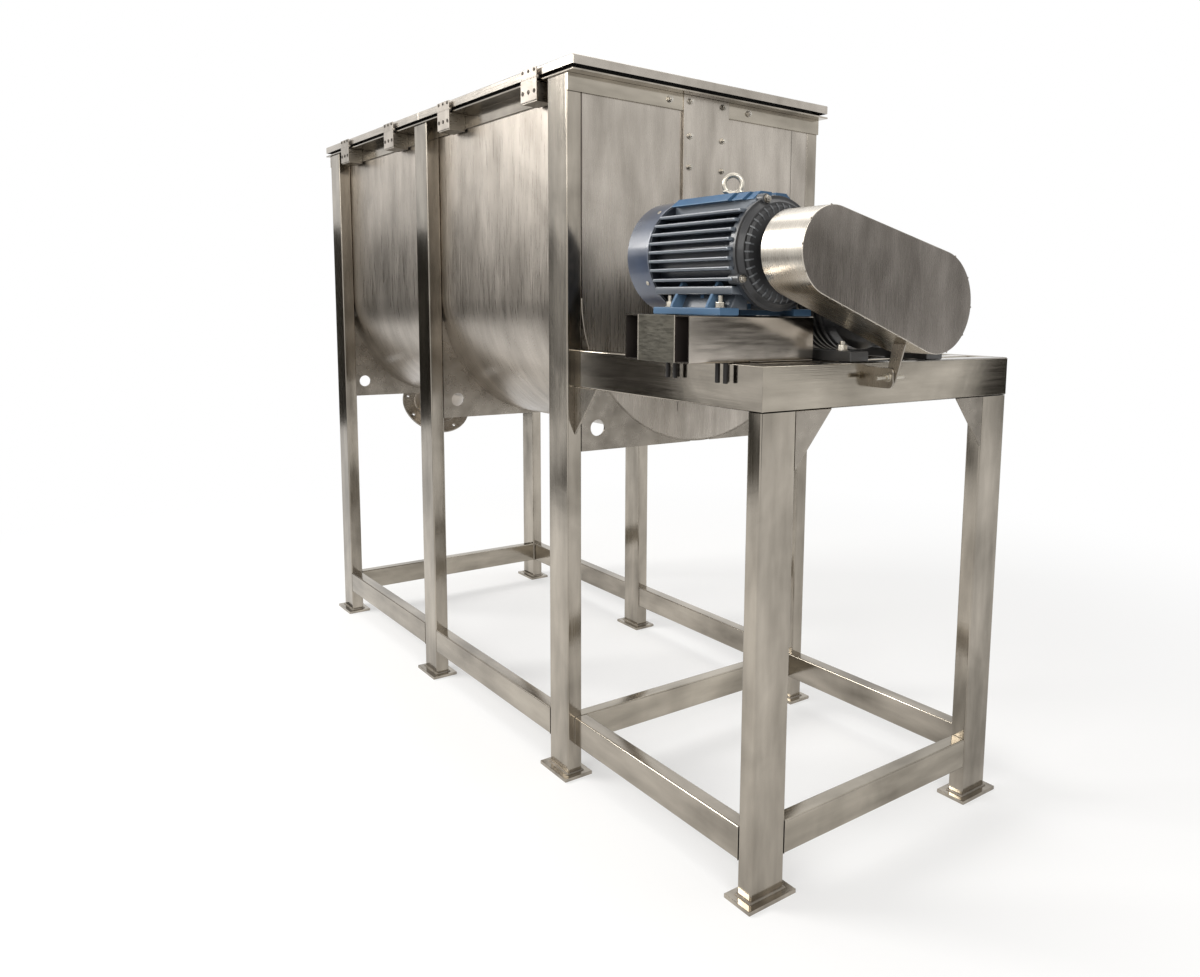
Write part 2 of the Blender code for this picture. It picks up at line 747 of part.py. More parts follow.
# Flanged bearings on the strips
strip_out = 2 * gap + strip_thick
for name, face, out in (("rear", -strip_out, -1), ("front", trough_length + strip_out, 1)):
    flange_low = face if out > 0 else face - bearing_flange_thick
    bearing = box(f"{name}_bearing", (flange_low, -bearing_half, shaft_height - bearing_half),
                  (flange_low + bearing_flange_thick, bearing_half, shaft_height + bearing_half), cast_iron)
    hub_start = face if out > 0 else face - bearing_hub_long
    join(bearing, rod(f"{name}_hub", bearing_hub_radius, (hub_start, 0, shaft_height), bearing_hub_long, "X"))
    bore_rod = rod(f"{name}_bearing_bore", journal_radius + gap, (hub_start - overrun, 0, shaft_height),
                   bearing_hub_long + 2 * overrun, "X")
    cut(bearing, bore_rod)

# Main shaft: stepped at the seals, with its coupling hub and the spokes welded to it
seal_inner_rear = end_thick + gap + seal_flange_thick + journal_inset
seal_inner_front = trough_length - seal_inner_rear
hub_end = coupling_start + coupling_hub_long
flange_start = hub_end - coupling_flange_thick
shaft_profile = [(shaft_rear_end, 0), (shaft_rear_end, journal_radius), (seal_inner_rear, journal_radius),
                 (seal_inner_rear, shaft_radius), (seal_inner_front, shaft_radius),
                 (seal_inner_front, journal_radius), (coupling_start, journal_radius),
                 (coupling_start, coupling_hub_radius),
                 (flange_start, coupling_hub_radius), (flange_start, coupling_flange_radius),
                 (hub_end, coupling_flange_radius), (hub_end, 0)]
main_shaft = turned("main_shaft", shaft_profile, (0, 0, shaft_height), polished_steel)
step_angle = turn / ribbon_steps
spoke_drop = spoke_radius * math.tan(step_angle / 2) + gap
outer_tip = outer_ribbon_radius - outer_ribbon_deep - spoke_drop
inner_tip = inner_ribbon_radius - inner_ribbon_deep - spoke_drop
spokes = []
for station in range(-ribbon_half_pitches, ribbon_half_pitches + 1):
    up = 1 if station % 2 == 0 else -1
    low_tip, high_tip = (inner_tip, outer_tip) if up > 0 else (outer_tip, inner_tip)
    spoke_x = centre_x + station * ribbon_pitch / 2
    spokes.append(rod("spoke", spoke_radius, (spoke_x, 0, shaft_height - low_tip), low_tip + high_tip, "Z",
                      steps=12))
join(main_shaft, gather("spokes", spokes))


def ribbon(name, radius, deep, hand, half, phase):
    """A flat bar wound edge-on about the shaft; hand is its turning sense along +X."""
    shape = bmesh.new()
    half_gap = (ribbon_thick + gap) / 2
    start_x = centre_x + half_gap if half > 0 else centre_x - ribbon_half_length
    low = -ribbon_thick / 2
    corners = [(low, radius - deep), (low, radius), (-low, radius), (-low, radius - deep)]
    ring = [shape.verts.new((x, 0, r)) for x, r in corners]
    face = shape.faces.new(ring)
    turns = ribbon_half_pitches / 2
    steps = int(ribbon_steps * turns)
    advance = (ribbon_half_length - half_gap) / steps
    bmesh.ops.spin(shape, geom=[face] + list(face.verts) + list(face.edges), cent=(0, 0, 0), axis=(1, 0, 0),
                   dvec=(advance, 0, 0), angle=hand * turns * turn, steps=steps, use_duplicate=False)
    bmesh.ops.recalc_face_normals(shape, faces=shape.faces)
    mesh = bpy.data.meshes.new(name)
    shape.to_mesh(mesh)
    shape.free()
    piece = place(name, mesh, polished_steel, (start_x, 0, shaft_height), (phase, 0, 0))
    return piece


for half_name, half in (("rear", -1), ("front", 1)):
    end_phase = 0 if half > 0 else math.pi * ribbon_half_pitches
    hand = 1 if half > 0 else -1
    ribbon(f"outer_ribbon_{half_name}", outer_ribbon_radius, outer_ribbon_deep, hand, half,
           end_phase)
    ribbon(f"inner_ribbon_{half_name}", inner_ribbon_radius, inner_ribbon_deep, -hand, half,
           end_phase + math.pi)

# Output shaft of the reducer, with the other half of the coupling
output_start = hub_end + gap
output_long = reducer_start + shaft_seat_depth - output_start
turned("output_shaft",
       [(0, 0), (0, coupling_flange_radius), (coupling_flange_thick, coupling_flange_radius),
        (coupling_flange_thick, coupling_hub_radius), (coupling_hub_long, coupling_hub_radius),
        (coupling_hub_long, output_shaft_radius), (output_long, output_shaft_radius), (output_long, 0)],
       (output_start, 0, shaft_height), cast_iron)

# Reducer: foot casing and input casing in line with the agitator
out_bore = output_shaft_radius + gap
foot_bottom = table_top + gap
casing_x = reducer_start
ring_x = reducer_start + reducer_foot_casing_long
cover_x = ring_x + reducer_ring_long
cover_long = reducer_front - cover_x
seat = shaft_seat_depth + gap
foot_casing = turned("reducer_foot_casing",
                     [(seat, 0), (seat, out_bore), (0, out_bore), (0, reducer_nose_radius),
                      (0.2 * reducer_foot_casing_long, reducer_nose_radius),
                      (0.35 * reducer_foot_casing_long, reducer_radius),
                      (reducer_foot_casing_long - gap, reducer_radius), (reducer_foot_casing_long - gap, 0)],
                     (casing_x, 0, shaft_height), black_paint)
pedestal_half = reducer_radius * reducer_pedestal_share
foot_ridge = foot_bottom + reducer_foot_thick / 2
pedestal_top = shaft_height - reducer_radius / 2
arch = foot_bottom + reducer_foot_thick * 1.5
half_pedestal = [(pedestal_half / 2, arch), (reducer_foot_inner - gap, foot_ridge),
                 (reducer_foot_outer - gap, foot_ridge), (pedestal_half, pedestal_top)]
pedestal = [(-across, up) for across, up in reversed(half_pedestal)] + half_pedestal
pedestal_x = casing_x + reducer_foot_casing_long / 3
join(foot_casing, plate("reducer_pedestal", [pedestal], reducer_foot_casing_long / 2, pedestal_x, "X"))
for low_y in (-reducer_foot_outer, reducer_foot_inner):
    join(foot_casing, box("reducer_foot", (reducer_foot_start, low_y, foot_bottom),
                          (reducer_foot_end, low_y + reducer_foot_outer - reducer_foot_inner,
                           foot_bottom + reducer_foot_thick)))
in_bore = input_shaft_radius + gap
in_long = reducer_ring_long + cover_long
in_seat = in_long - shaft_seat_depth
turned("reducer_input_casing",
       [(0, 0), (0, reducer_ring_radius), (reducer_ring_long, reducer_ring_radius),
        (reducer_ring_long, reducer_radius), (reducer_ring_long + 0.3 * cover_long, reducer_radius),
        (reducer_ring_long + 0.55 * cover_long, reducer_nose_radius),
        (in_long, reducer_nose_radius / 1.2), (in_long, in_bore), (in_seat, in_bore), (in_seat, 0)],
       (ring_x, 0, shaft_height), black_paint)
rod("reducer_input_shaft", input_shaft_radius, (ring_x + in_seat + gap, 0, shaft_height),
    pulley_start + pulley_long - ring_x - in_seat - gap, "X", polished_steel)


# Grooved pulleys and their two belts
def pulley(name, radius, bore, centre_y, centre_z):
    rims = [(0, bore), (0, radius)]
    for groove in (-1, 1):
        middle = pulley_long / 2 + groove * belt_pitch / 2
        floor = radius - belt_deep
        rims += [(middle - belt_outer_width / 2 - gap, radius), (middle - belt_inner_width / 2 - gap, floor),
                 (middle + belt_inner_width / 2 + gap, floor), (middle + belt_outer_width / 2 + gap, radius)]
    rims += [(pulley_long, radius), (pulley_long, bore), (0, bore)]
    return turned(name, rims, (pulley_start, centre_y, centre_z), cast_iron)


pulley("motor_pulley", motor_pulley_radius, motor_shaft_radius + gap, motor_y, motor_z)
pulley("reducer_pulley", reducer_pulley_radius, input_shaft_radius + gap, 0, shaft_height)


def two_round(radius_a, radius_b, steps=20):
    """The outline round two wheels: motor centre with radius_a, reducer centre with radius_b."""
    run = math.hypot(motor_y, motor_z - shaft_height)
    lean = math.atan2(shaft_height - motor_z, -motor_y)
    wrap = math.acos((radius_a - radius_b) / run)
    first = [(motor_y + radius_a * math.cos(lean + a), motor_z + radius_a * math.sin(lean + a))
             for a in [wrap + (turn - 2 * wrap) * i / steps for i in range(steps + 1)]]
    second = [(radius_b * math.cos(lean + a), shaft_height + radius_b * math.sin(lean + a))
              for a in [-wrap + 2 * wrap * i / steps for i in range(steps + 1)]]
    return first + second


for name, groove in (("belt_rear", -1), ("belt_front", 1)):
    middle = pulley_start + pulley_long / 2 + groove * belt_pitch / 2
    inset = belt_deep - gap * 3
    plate(name, [two_round(motor_pulley_radius + belt_proud, reducer_pulley_radius + belt_proud),
                 two_round(motor_pulley_radius - inset, reducer_pulley_radius - inset)],
          belt_inner_width, middle - belt_inner_width / 2, "X", black_rubber)

# Belt guard: a folded stainless cover, open to the back, with its strap, lug and bolt
guard_back = guard_front - guard_deep
guard = plate("belt_guard", [two_round(guard_motor_radius, guard_reducer_radius, 28)], guard_deep,
              guard_back, "X", satin_steel)
inside = plate("guard_inside",
               [two_round(guard_motor_radius - guard_sheet, guard_reducer_radius - guard_sheet, 28)],
               guard_deep, guard_back - guard_sheet, "X")
cut(guard, inside)
run = math.hypot(motor_y, motor_z - shaft_height)
lean = math.atan2(shaft_height - motor_z, -motor_y)
wrap = math.acos((guard_motor_radius - guard_reducer_radius) / run)
out_y, out_z = math.cos(lean - wrap), math.sin(lean - wrap)
touch_a = (motor_y + guard_motor_radius * out_y, motor_z + guard_motor_radius * out_z)
touch_b = (guard_reducer_radius * out_y, shaft_height + guard_reducer_radius * out_z)
slope = (touch_b[1] - touch_a[1]) / (touch_b[0] - touch_a[0])
strap_top = touch_a[1] + slope * (strap_y + strap_thick - touch_a[0]) - gap
strap = plate("guard_strap",
              [[(strap_bottom_x, strap_bottom), (strap_bottom_x + strap_wide * 0.8, strap_bottom),
                (strap_bottom_x + strap_lean + strap_wide, strap_top),
                (strap_bottom_x + strap_lean, strap_top)]],
              strap_thick, strap_y, "Y", satin_steel)
bolt_x = strap_bottom_x + strap_wide * 0.45
bolt_z = strap_bottom + strap_bolt_rise
lug_low = strap_bottom - strap_bolt_rise / 4
lug = plate("rail_lug",
            [[(table_front - tube_wall, lug_low), (bolt_x + strap_wide / 3, lug_low),
              (bolt_x + strap_wide / 3, bolt_z + strap_bolt_rise),
              (table_front - tube_wall, table_top - tube_wall)]],
            lug_thick, strap_y - lug_thick - gap, "Y")
join(table_frame, lug)
cut(table_frame, rod("lug_hole", strap_bolt_radius + gap, (bolt_x, strap_y - overrun, bolt_z),
                     2 * overrun, "Y", steps=12))
bolt_start = strap_y - strap_bolt_half
join(strap, rod("strap_bolt", strap_bolt_radius, (bolt_x, bolt_start, bolt_z), 2 * strap_bolt_half, "Y",
                steps=12))
nut_long = strap_bolt_radius * 1.6
head_y = strap_y - lug_thick - 2 * gap - nut_long
for name, start_y in (("nut", strap_y + strap_thick / 2), ("head", head_y)):
    join(strap, rod(f"strap_{name}", strap_bolt_radius * 1.9, (bolt_x, start_y, bolt_z), nut_long, "Y",
                    steps=6))

# Motor base: two tubes on edge, joined by a plate at the near end
tube_xs = (base_front_x - base_wide, base_front_x - base_tube_thin)
bolt_ys = (motor_y - foot_bolt_y_span / 2, motor_y + foot_bolt_y_span / 2)
motor_base = box("motor_base", (tube_xs[0] + tube_wall / 2, base_near_y, base_bottom),
                 (tube_xs[1] + tube_wall / 2, base_near_y + tube_wall, base_top), satin_steel)
bores = []
for name, low_x, bolt_at in (("rear", tube_xs[0], bolt_rear_x), ("front", tube_xs[1], bolt_front_x)):
    low = (low_x, base_near_y, base_bottom)
    high = (low_x + base_tube_thin, base_far_y, base_top)
    join(motor_base, box(f"base_tube_{name}", low, high))
    bores.append(box("base_bore", (low_x + tube_wall, base_near_y - overrun, base_bottom + tube_wall),
                     (high[0] - tube_wall, base_far_y + overrun, base_top - tube_wall)))
    bores += [rod("stud_clear", foot_bolt_radius + gap, (bolt_at, at_y, base_bottom - overrun),
                  base_tube_deep + 2 * overrun, "Z", steps=10) for at_y in bolt_ys]
for bore in bores:
    cut(motor_base, bore)

# Motor frame: a finned drum on two foot bars, with its studs and nuts
drum_start = motor_rear + fan_cover_long * 0.35
drum_end = motor_front - shield_thick - gap
drum_long = drum_end - drum_start
rotor_bore = motor_shaft_radius + gap
fin_start = motor_rear + fan_cover_long + fan_cover_sheet
rim_start = motor_rear + fan_cover_long - 3 * fan_cover_sheet - drum_start
cover_seat = fan_cover_radius - fan_cover_sheet - gap
frame_drum = turned("motor_frame",
                    [(0, rotor_bore), (0, motor_core_radius), (rim_start, motor_core_radius),
                     (rim_start, cover_seat),
                     (fin_start - drum_start, cover_seat), (fin_start - drum_start, motor_core_radius),
                     (drum_long, motor_core_radius), (drum_long, rotor_bore), (0, rotor_bore)],
                    (drum_start, motor_y, motor_z), blue_paint)
fins = []
fin_end = drum_end - fin_thick
fin_band = motor_core_radius * 0.86
for i in range(fin_count):
    height = motor_z + fin_band * (2 * i / (fin_count - 1) - 1)
    reach = math.sqrt(motor_radius ** 2 - (height - motor_z) ** 2)
    fins.append(box("side_fin", (fin_start - fin_thick / 2, motor_y - reach, height - fin_thick / 2),
                    (fin_end, motor_y + reach, height + fin_thick / 2)))
top_band = motor_core_radius * 0.55
for i in range(top_fin_count):
    aside = top_band * (2 * i / (top_fin_count - 1) - 1)
    reach = math.sqrt(motor_radius ** 2 - aside ** 2)
    fins.append(box("top_fin", (fin_start - fin_thick / 2, motor_y + aside - fin_thick / 2, motor_z),
                    (fin_end, motor_y + aside + fin_thick / 2, motor_z + reach)))
for fin in fins:
    join(frame_drum, fin)
cut(frame_drum, rod("rotor_clear", rotor_bore, (drum_start - overrun, motor_y, motor_z),
                    drum_long + 2 * overrun, "X"))
for sign in (-1, 1):
    bar_y = motor_y + sign * foot_bolt_y_span / 2
    middle_x = (bolt_front_x + bolt_rear_x) / 2
    low_z = base_top + gap
    join(frame_drum, box("foot_bar", (middle_x - foot_bar_half, bar_y - foot_bar_wide / 2, low_z),
                         (middle_x + foot_bar_half, bar_y + foot_bar_wide / 2, foot_top)))
    leg_out = bar_y + sign * foot_bar_wide * 0.1
    web = [(leg_out, foot_top - gap), (bar_y - sign * foot_bar_wide / 2, foot_top - gap),
           (motor_y + sign * motor_core_radius * 0.45, motor_z - motor_core_radius * 0.5),
           (motor_y + sign * motor_core_radius * 0.8, motor_z - motor_core_radius * 0.5)]
    for at_x in (bolt_front_x - foot_bar_wide / 2, bolt_rear_x + foot_bar_wide / 2):
        join(frame_drum, plate("foot_web", [web], foot_bar_thick / 2, at_x, "X"))
    stud_low = stud_bottom if sign < 0 else base_bottom + base_tube_deep / 2
    for at_x in (bolt_front_x, bolt_rear_x):
        join(frame_drum, rod("foot_stud", foot_bolt_radius, (at_x, bar_y, stud_low),
                             foot_top + stud_above_foot - stud_low, "Z", steps=10))
        join(frame_drum, rod("foot_nut", nut_radius, (at_x, bar_y, foot_top - gap), nut_high, "Z", steps=6))

# Front end shield with its ribs' hub, and the terminal box on the far side
shield_hub = shield_radius * 0.62
turned("motor_end_shield",
       [(0, rotor_bore), (0, shield_radius), (shield_thick * 0.45, shield_radius),
        (shield_thick * 0.55, shield_radius * 0.9), (shield_thick * 0.8, shield_hub),
        (shield_thick, shield_hub * 0.9), (shield_thick, rotor_bore), (0, rotor_bore)],
       (motor_front - shield_thick, motor_y, motor_z), black_paint)
box_x = (fin_start + fin_end) / 2
terminal_y = motor_y + motor_radius + gap
terminal = box("terminal_box", (box_x - terminal_long / 2, terminal_y, motor_z),
               (box_x + terminal_long / 2, terminal_y + terminal_deep, motor_z + terminal_high), blue_paint)
gland_at = (box_x, terminal_y + terminal_deep / 2, motor_z - terminal_deep / 4)
join(terminal, rod("cable_gland", terminal_deep / 5, gland_at, terminal_deep / 2, "Z", steps=12))

# Eye bolt: a collared stud with its ring
eye_x = box_x
eye_z = motor_z + motor_radius + gap
collar_high = eye_wire_radius
shape = bmesh.new()
ring_centre = collar_high + eye_ring_radius
eye = rod("eye_bolt", eye_collar_radius, (eye_x, motor_y, eye_z), collar_high, "Z", zinc_plate, 16)
wire_place = Matrix.Translation((eye_ring_radius, 0, 0)) @ Matrix.Rotation(math.pi / 2, 4, "X")
bmesh.ops.create_circle(shape, segments=8, radius=eye_wire_radius, matrix=wire_place)
bmesh.ops.spin(shape, geom=list(shape.verts) + list(shape.edges), cent=(0, 0, 0), axis=(0, 0, 1),
               angle=turn, steps=24, use_merge=True, use_duplicate=False)
bmesh.ops.remove_doubles(shape, verts=shape.verts, dist=gap / 10)
bmesh.ops.recalc_face_normals(shape, faces=shape.faces)
eye_mesh = bpy.data.meshes.new("eye_ring")
shape.to_mesh(eye_mesh)
shape.free()
join(eye, place("eye_ring", eye_mesh, None, (eye_x, motor_y, eye_z + ring_centre),
                (math.pi / 2, 0, eye_turn)))

# Fan cover with its slotted grille, and the fan inside
cover = turned("fan_cover",
               [(0, 0), (0, fan_cover_radius * 0.93), (fan_cover_sheet * 3, fan_cover_radius),
                (fan_cover_long, fan_cover_radius), (fan_cover_long, fan_cover_radius - fan_cover_sheet),
                (fan_cover_sheet * 3, fan_cover_radius - fan_cover_sheet),
                (fan_cover_sheet, fan_cover_radius * 0.93 - fan_cover_sheet), (fan_cover_sheet, 0)],
               (motor_rear, motor_y, motor_z), blue_paint)
slots = []
for i in range(12):
    angle = turn * i / 12
    slot = box("grille_slot", (-overrun, -fin_thick, fan_radius * 0.35),
               (overrun, fin_thick, fan_radius * 0.9))
    slot.location = (motor_rear, motor_y, motor_z)
    slot.data.transform(Matrix.Translation((0, 0, fan_radius * 0.625)))
    slot.rotation_euler = (angle, 0, 0)
    slots.append(slot)
cut(cover, gather("grille_slots", slots))

# Rotor: one shaft from the fan to the pulley, with the bladed fan on its rear end
shaft_start = motor_rear + fan_cover_sheet * 4
fan_long = drum_start - shaft_start - 2 * fan_cover_sheet
fan_hub = motor_shaft_radius * 1.8
rotor = turned("motor_shaft",
               [(0, 0), (0, fan_hub), (fan_long, fan_hub), (fan_long, motor_shaft_radius),
                (pulley_start + pulley_long - shaft_start, motor_shaft_radius),
                (pulley_start + pulley_long - shaft_start, 0)],
               (shaft_start, motor_y, motor_z), polished_steel)
blades = []
for i in range(fan_blades):
    blade = box("blade", (0, -fin_thick / 3, 0),
                (fan_long, fin_thick / 3, fan_radius - motor_shaft_radius * 1.5))
    blade.data.transform(Matrix.Translation((fan_long / 2, 0, (fan_radius + motor_shaft_radius * 1.5) / 2)))
    blade.location = (shaft_start, motor_y, motor_z)
    blade.rotation_euler = (turn * i / fan_blades, 0, 0)
    blades.append(blade)
join(rotor, gather("fan_blades", blades))
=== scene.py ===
"""A horizontal ribbon blender: a stainless U-trough on tube legs, two hinged lids, a double
helical ribbon agitator, and a belt and reducer drive on a front table."""
import math

import bmesh
import bpy
from mathutils import Matrix, Vector


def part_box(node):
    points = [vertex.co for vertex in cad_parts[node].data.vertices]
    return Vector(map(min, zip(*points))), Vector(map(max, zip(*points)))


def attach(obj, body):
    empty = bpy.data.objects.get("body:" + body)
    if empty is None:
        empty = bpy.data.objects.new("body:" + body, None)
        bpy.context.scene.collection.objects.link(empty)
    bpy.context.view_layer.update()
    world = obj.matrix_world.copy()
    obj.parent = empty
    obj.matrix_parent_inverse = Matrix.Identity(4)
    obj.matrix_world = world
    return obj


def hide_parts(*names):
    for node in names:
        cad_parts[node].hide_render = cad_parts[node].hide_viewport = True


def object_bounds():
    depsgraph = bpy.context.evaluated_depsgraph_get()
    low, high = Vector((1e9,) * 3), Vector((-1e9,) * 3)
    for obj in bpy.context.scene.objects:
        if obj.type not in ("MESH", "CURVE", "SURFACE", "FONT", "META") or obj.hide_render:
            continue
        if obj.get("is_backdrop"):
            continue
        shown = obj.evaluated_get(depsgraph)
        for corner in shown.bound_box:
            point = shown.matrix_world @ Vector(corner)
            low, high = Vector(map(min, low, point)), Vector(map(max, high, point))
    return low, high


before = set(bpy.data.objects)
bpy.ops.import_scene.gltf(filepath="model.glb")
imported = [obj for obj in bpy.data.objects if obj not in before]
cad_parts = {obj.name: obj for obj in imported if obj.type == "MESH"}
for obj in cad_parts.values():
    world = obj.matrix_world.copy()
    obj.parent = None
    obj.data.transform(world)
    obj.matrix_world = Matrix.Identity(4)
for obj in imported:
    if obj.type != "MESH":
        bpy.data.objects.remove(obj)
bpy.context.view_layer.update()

# Camera: the photographer stood at the drive end, a little above the table, and the place was
# worked out from the straight tubes. The lens shift keeps the photograph's framing.
trough_low, trough_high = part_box("trough_shell")
trough_middle_y = (trough_low.y + trough_high.y) / 2
camera_reach = Vector((4.0665, -1.7398, 1.3197))
heading, tilt, lean = math.radians(141.133), math.radians(-7.2475), math.radians(0.9261)
forward = Vector((math.cos(tilt) * math.cos(heading), math.cos(tilt) * math.sin(heading),
                  math.sin(tilt)))
level_right = Vector((math.sin(heading), -math.cos(heading), 0))
level_up = level_right.cross(forward)
camera_right = math.cos(lean) * level_right + math.sin(lean) * level_up
camera_up = math.cos(lean) * level_up - math.sin(lean) * level_right
camera_place = Vector((trough_low.x, trough_middle_y, 0)) + camera_reach
bpy.ops.object.camera_add(location=camera_place)
camera = bpy.context.object
camera.matrix_world = Matrix.Translation(camera_place) @ Matrix(
    (camera_right, camera_up, -forward)).transposed().to_4x4()
camera.data.sensor_width = 36
camera.data.lens = 28.13
camera.data.shift_x = -0.0859
camera.data.shift_y = -0.0511
camera.data.clip_end = 100
bpy.context.scene.camera = camera
bpy.context.scene.view_settings.view_transform = "Standard"


# World: white for the camera and in the reflections of metal and glass. All other rays get a soft,
# even and slightly warm studio light.
def add_node(tree, kind, **sockets):
    """Adds a shader node of one kind, with values on the sockets that are named."""
    node = tree.nodes.new(f"ShaderNode{kind}")
    for socket, value in sockets.items():
        node.inputs[socket.replace("_", " ")].default_value = value
    return node


def larger(tree, first, second):
    most = add_node(tree, "Math")
    most.operation = "MAXIMUM"
    tree.links.new(first, most.inputs[0])
    tree.links.new(second, most.inputs[1])
    return most.outputs[0]


def seen_rays(tree):
    """1 for the rays that show the background: the camera's, and those of metal and glass."""
    ray = add_node(tree, "LightPath")
    reflected = larger(tree, ray.outputs["Is Glossy Ray"], ray.outputs["Is Transmission Ray"])
    return larger(tree, ray.outputs["Is Camera Ray"], reflected)


world = bpy.data.worlds.new("studio")
world.use_nodes = True
bpy.context.scene.world = world
tree = world.node_tree
tree.nodes.clear()
link = tree.links.new
choose = add_node(tree, "MixShader")
room = add_node(tree, "Background", Color=(1.0, 0.99, 0.97, 1), Strength=0.62)
seen = add_node(tree, "Background", Color=(1, 1, 1, 1))
link(seen_rays(tree), choose.inputs[0])
link(room.outputs[0], choose.inputs[1])
link(seen.outputs[0], choose.inputs[2])
link(choose.outputs[0], add_node(tree, "OutputWorld").inputs[0])


# Floor: a pale studio floor that holds the machine's shadow and fades to the white backdrop. The
# fade shows only to the camera and in reflections.
def new_material(name):
    """A material, its nodes and the function that links them."""
    material = bpy.data.materials.new(name)
    material.use_nodes = True
    return material, material.node_tree, material.node_tree.links.new


fade_start, fade_end = 1.2, 4.0
bpy.ops.mesh.primitive_plane_add(size=60, location=(0, 0, 0))
floor = bpy.context.object
floor.name = "studio_floor"
floor_paint, tree, link = new_material("studio_floor")
tree.nodes.clear()
pale = add_node(tree, "BsdfDiffuse", Color=(0.86, 0.86, 0.86, 1))
bright = add_node(tree, "Emission")
fade = add_node(tree, "MixShader")
reach = add_node(tree, "VectorMath")
reach.operation = "LENGTH"
ring = add_node(tree, "MapRange", From_Min=fade_start, From_Max=fade_end, To_Min=0.45)
ring.interpolation_type = "SMOOTHSTEP"
only_seen = add_node(tree, "Math")
only_seen.operation = "MULTIPLY"
link(add_node(tree, "TexCoord").outputs["Object"], reach.inputs[0])
link(reach.outputs["Value"], ring.inputs["Value"])
link(ring.outputs[0], only_seen.inputs[0])
link(seen_rays(tree), only_seen.inputs[1])
link(only_seen.outputs[0], fade.inputs[0])
link(pale.outputs[0], fade.inputs[1])
link(bright.outputs[0], fade.inputs[2])
link(fade.outputs[0], add_node(tree, "OutputMaterial").inputs[0])
floor.data.materials.append(floor_paint)
floor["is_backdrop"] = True

# Cards: dark studio cards out of the camera's sight, which give the polished steel its dark bands.
# Five stand and face the machine, and one lies just above the floor.
card_paint, tree, link = new_material("studio_card")
card_shader = tree.nodes["Principled BSDF"]
card_shader.inputs["Base Color"].default_value = (0.035, 0.032, 0.026, 1)
card_shader.inputs["Roughness"].default_value = 0.9
card_shader.inputs["Specular IOR Level"].default_value = 0.1


def dark_card(name, spot, turn, wide, high):
    """A card that only reflections show."""
    bpy.ops.mesh.primitive_plane_add(size=1, location=spot)
    card = bpy.context.object
    card.name = f"card_{name}"
    card.rotation_mode = "QUATERNION"
    card.rotation_quaternion = turn
    card.scale = (wide, high, 1)
    card.data.materials.append(card_paint)
    card.visible_camera = card.visible_diffuse = card.visible_shadow = False
    card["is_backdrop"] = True


machine_middle = Vector((0, 0, 1.2))
for name, spot, wide, high in (("rear", (-7.2, -3.1, 1.05), 3.0, 2.1),
                               ("side", (-5.8, -5.6, 1.0), 2.0, 2.0),
                               ("drive", (6.0, 4.4, 1.45), 2.0, 1.2),
                               ("yard", (4.0, 6.4, 0.8), 1.4, 1.6),
                               ("near", (6.6, -2.6, 0.9), 2.4, 1.8)):
    dark_card(name, spot, (machine_middle - Vector(spot)).to_track_quat("Z", "Y"), wide, high)
yard_turn = Matrix.Rotation(math.radians(40), 3, "Z").to_quaternion()
dark_card("yard_floor", (-3.9, -4.8, 0.03), yard_turn, 4.4, 2.6)

# Lamps: a large soft key from the rear on the near side, a fill at the drive end, a top light and
# a soft near light.
lamp_aim = Vector((0.2, 0, 1.0))
for name, spot, size, watts in (("key", (-3.6, -4.6, 4.2), 2.6, 320),
                                ("fill", (5.6, -1.6, 4.0), 2.2, 90),
                                ("top", (-0.5, 0.5, 5.5), 4.0, 90),
                                ("near", (2.5, -5.0, 3.2), 2.4, 70)):
    bpy.ops.object.light_add(type="AREA", location=spot)
    lamp = bpy.context.object
    lamp.name = f"lamp_{name}"
    lamp.data.energy = watts
    lamp.data.size = size
    lamp.data.color = (1.0, 0.985, 0.96)
    lamp.rotation_mode = "QUATERNION"
    lamp.rotation_quaternion = (lamp_aim - Vector(spot)).to_track_quat("-Z", "Y")


# Legs: six stainless tubes carry the trough and two carry the drive table. Each is a polished
# rectangular tube, folded with a small outside radius and welded to a flat foot plate.
def deselect():
    bpy.ops.object.select_all(action="DESELECT")


def hold(piece):
    deselect()
    piece.select_set(True)
    bpy.context.view_layer.objects.active = piece


def settle():
    """Moves the place, turn and size of the piece in hand into its mesh."""
    bpy.ops.object.transform_apply(location=True, rotation=True, scale=True)
    return bpy.context.object


def finish(piece, kind, **settings):
    """Applies one modifier to a piece."""
    hold(piece)
    step = piece.modifiers.new("step", kind)
    for setting, value in settings.items():
        setattr(step, setting, value)
    bpy.ops.object.modifier_apply(modifier=step.name)
    return piece


def take(name, material=None, body="frame", stands_for=()):
    """Names the piece in hand, flattens the shading of its flats, and gives it finish and body."""
    piece = bpy.context.object
    piece.name = piece.data.name = name
    hold(piece)
    settle()
    finish(piece, "WEIGHTED_NORMAL", keep_sharp=True)
    if material:
        piece.data.materials.clear()
        piece.data.materials.append(material)
    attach(piece, body)
    if stands_for:
        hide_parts(*stands_for)
    return piece


def block(corner, opposite):
    """A cube primitive stretched between two opposite corners."""
    deselect()
    corner, opposite = Vector(corner), Vector(opposite)
    bpy.ops.mesh.primitive_cube_add(size=1, location=(corner + opposite) / 2,
                                    scale=[abs(reach) for reach in opposite - corner])
    return settle()


def pick(piece, wanted, mode="EDGE"):
    """Opens the piece in edit mode with only the edges or faces that pass the test selected."""
    hold(piece)
    bpy.ops.object.mode_set(mode="EDIT")
    bpy.ops.mesh.select_mode(type=mode)
    bpy.ops.mesh.select_all(action="DESELECT")
    mesh = bmesh.from_edit_mesh(piece.data)
    mesh.normal_update()
    for item in (mesh.edges if mode == "EDGE" else mesh.faces):
        if wanted(item):
            item.select_set(True)
    mesh.select_flush_mode()
    bmesh.update_edit_mesh(piece.data)


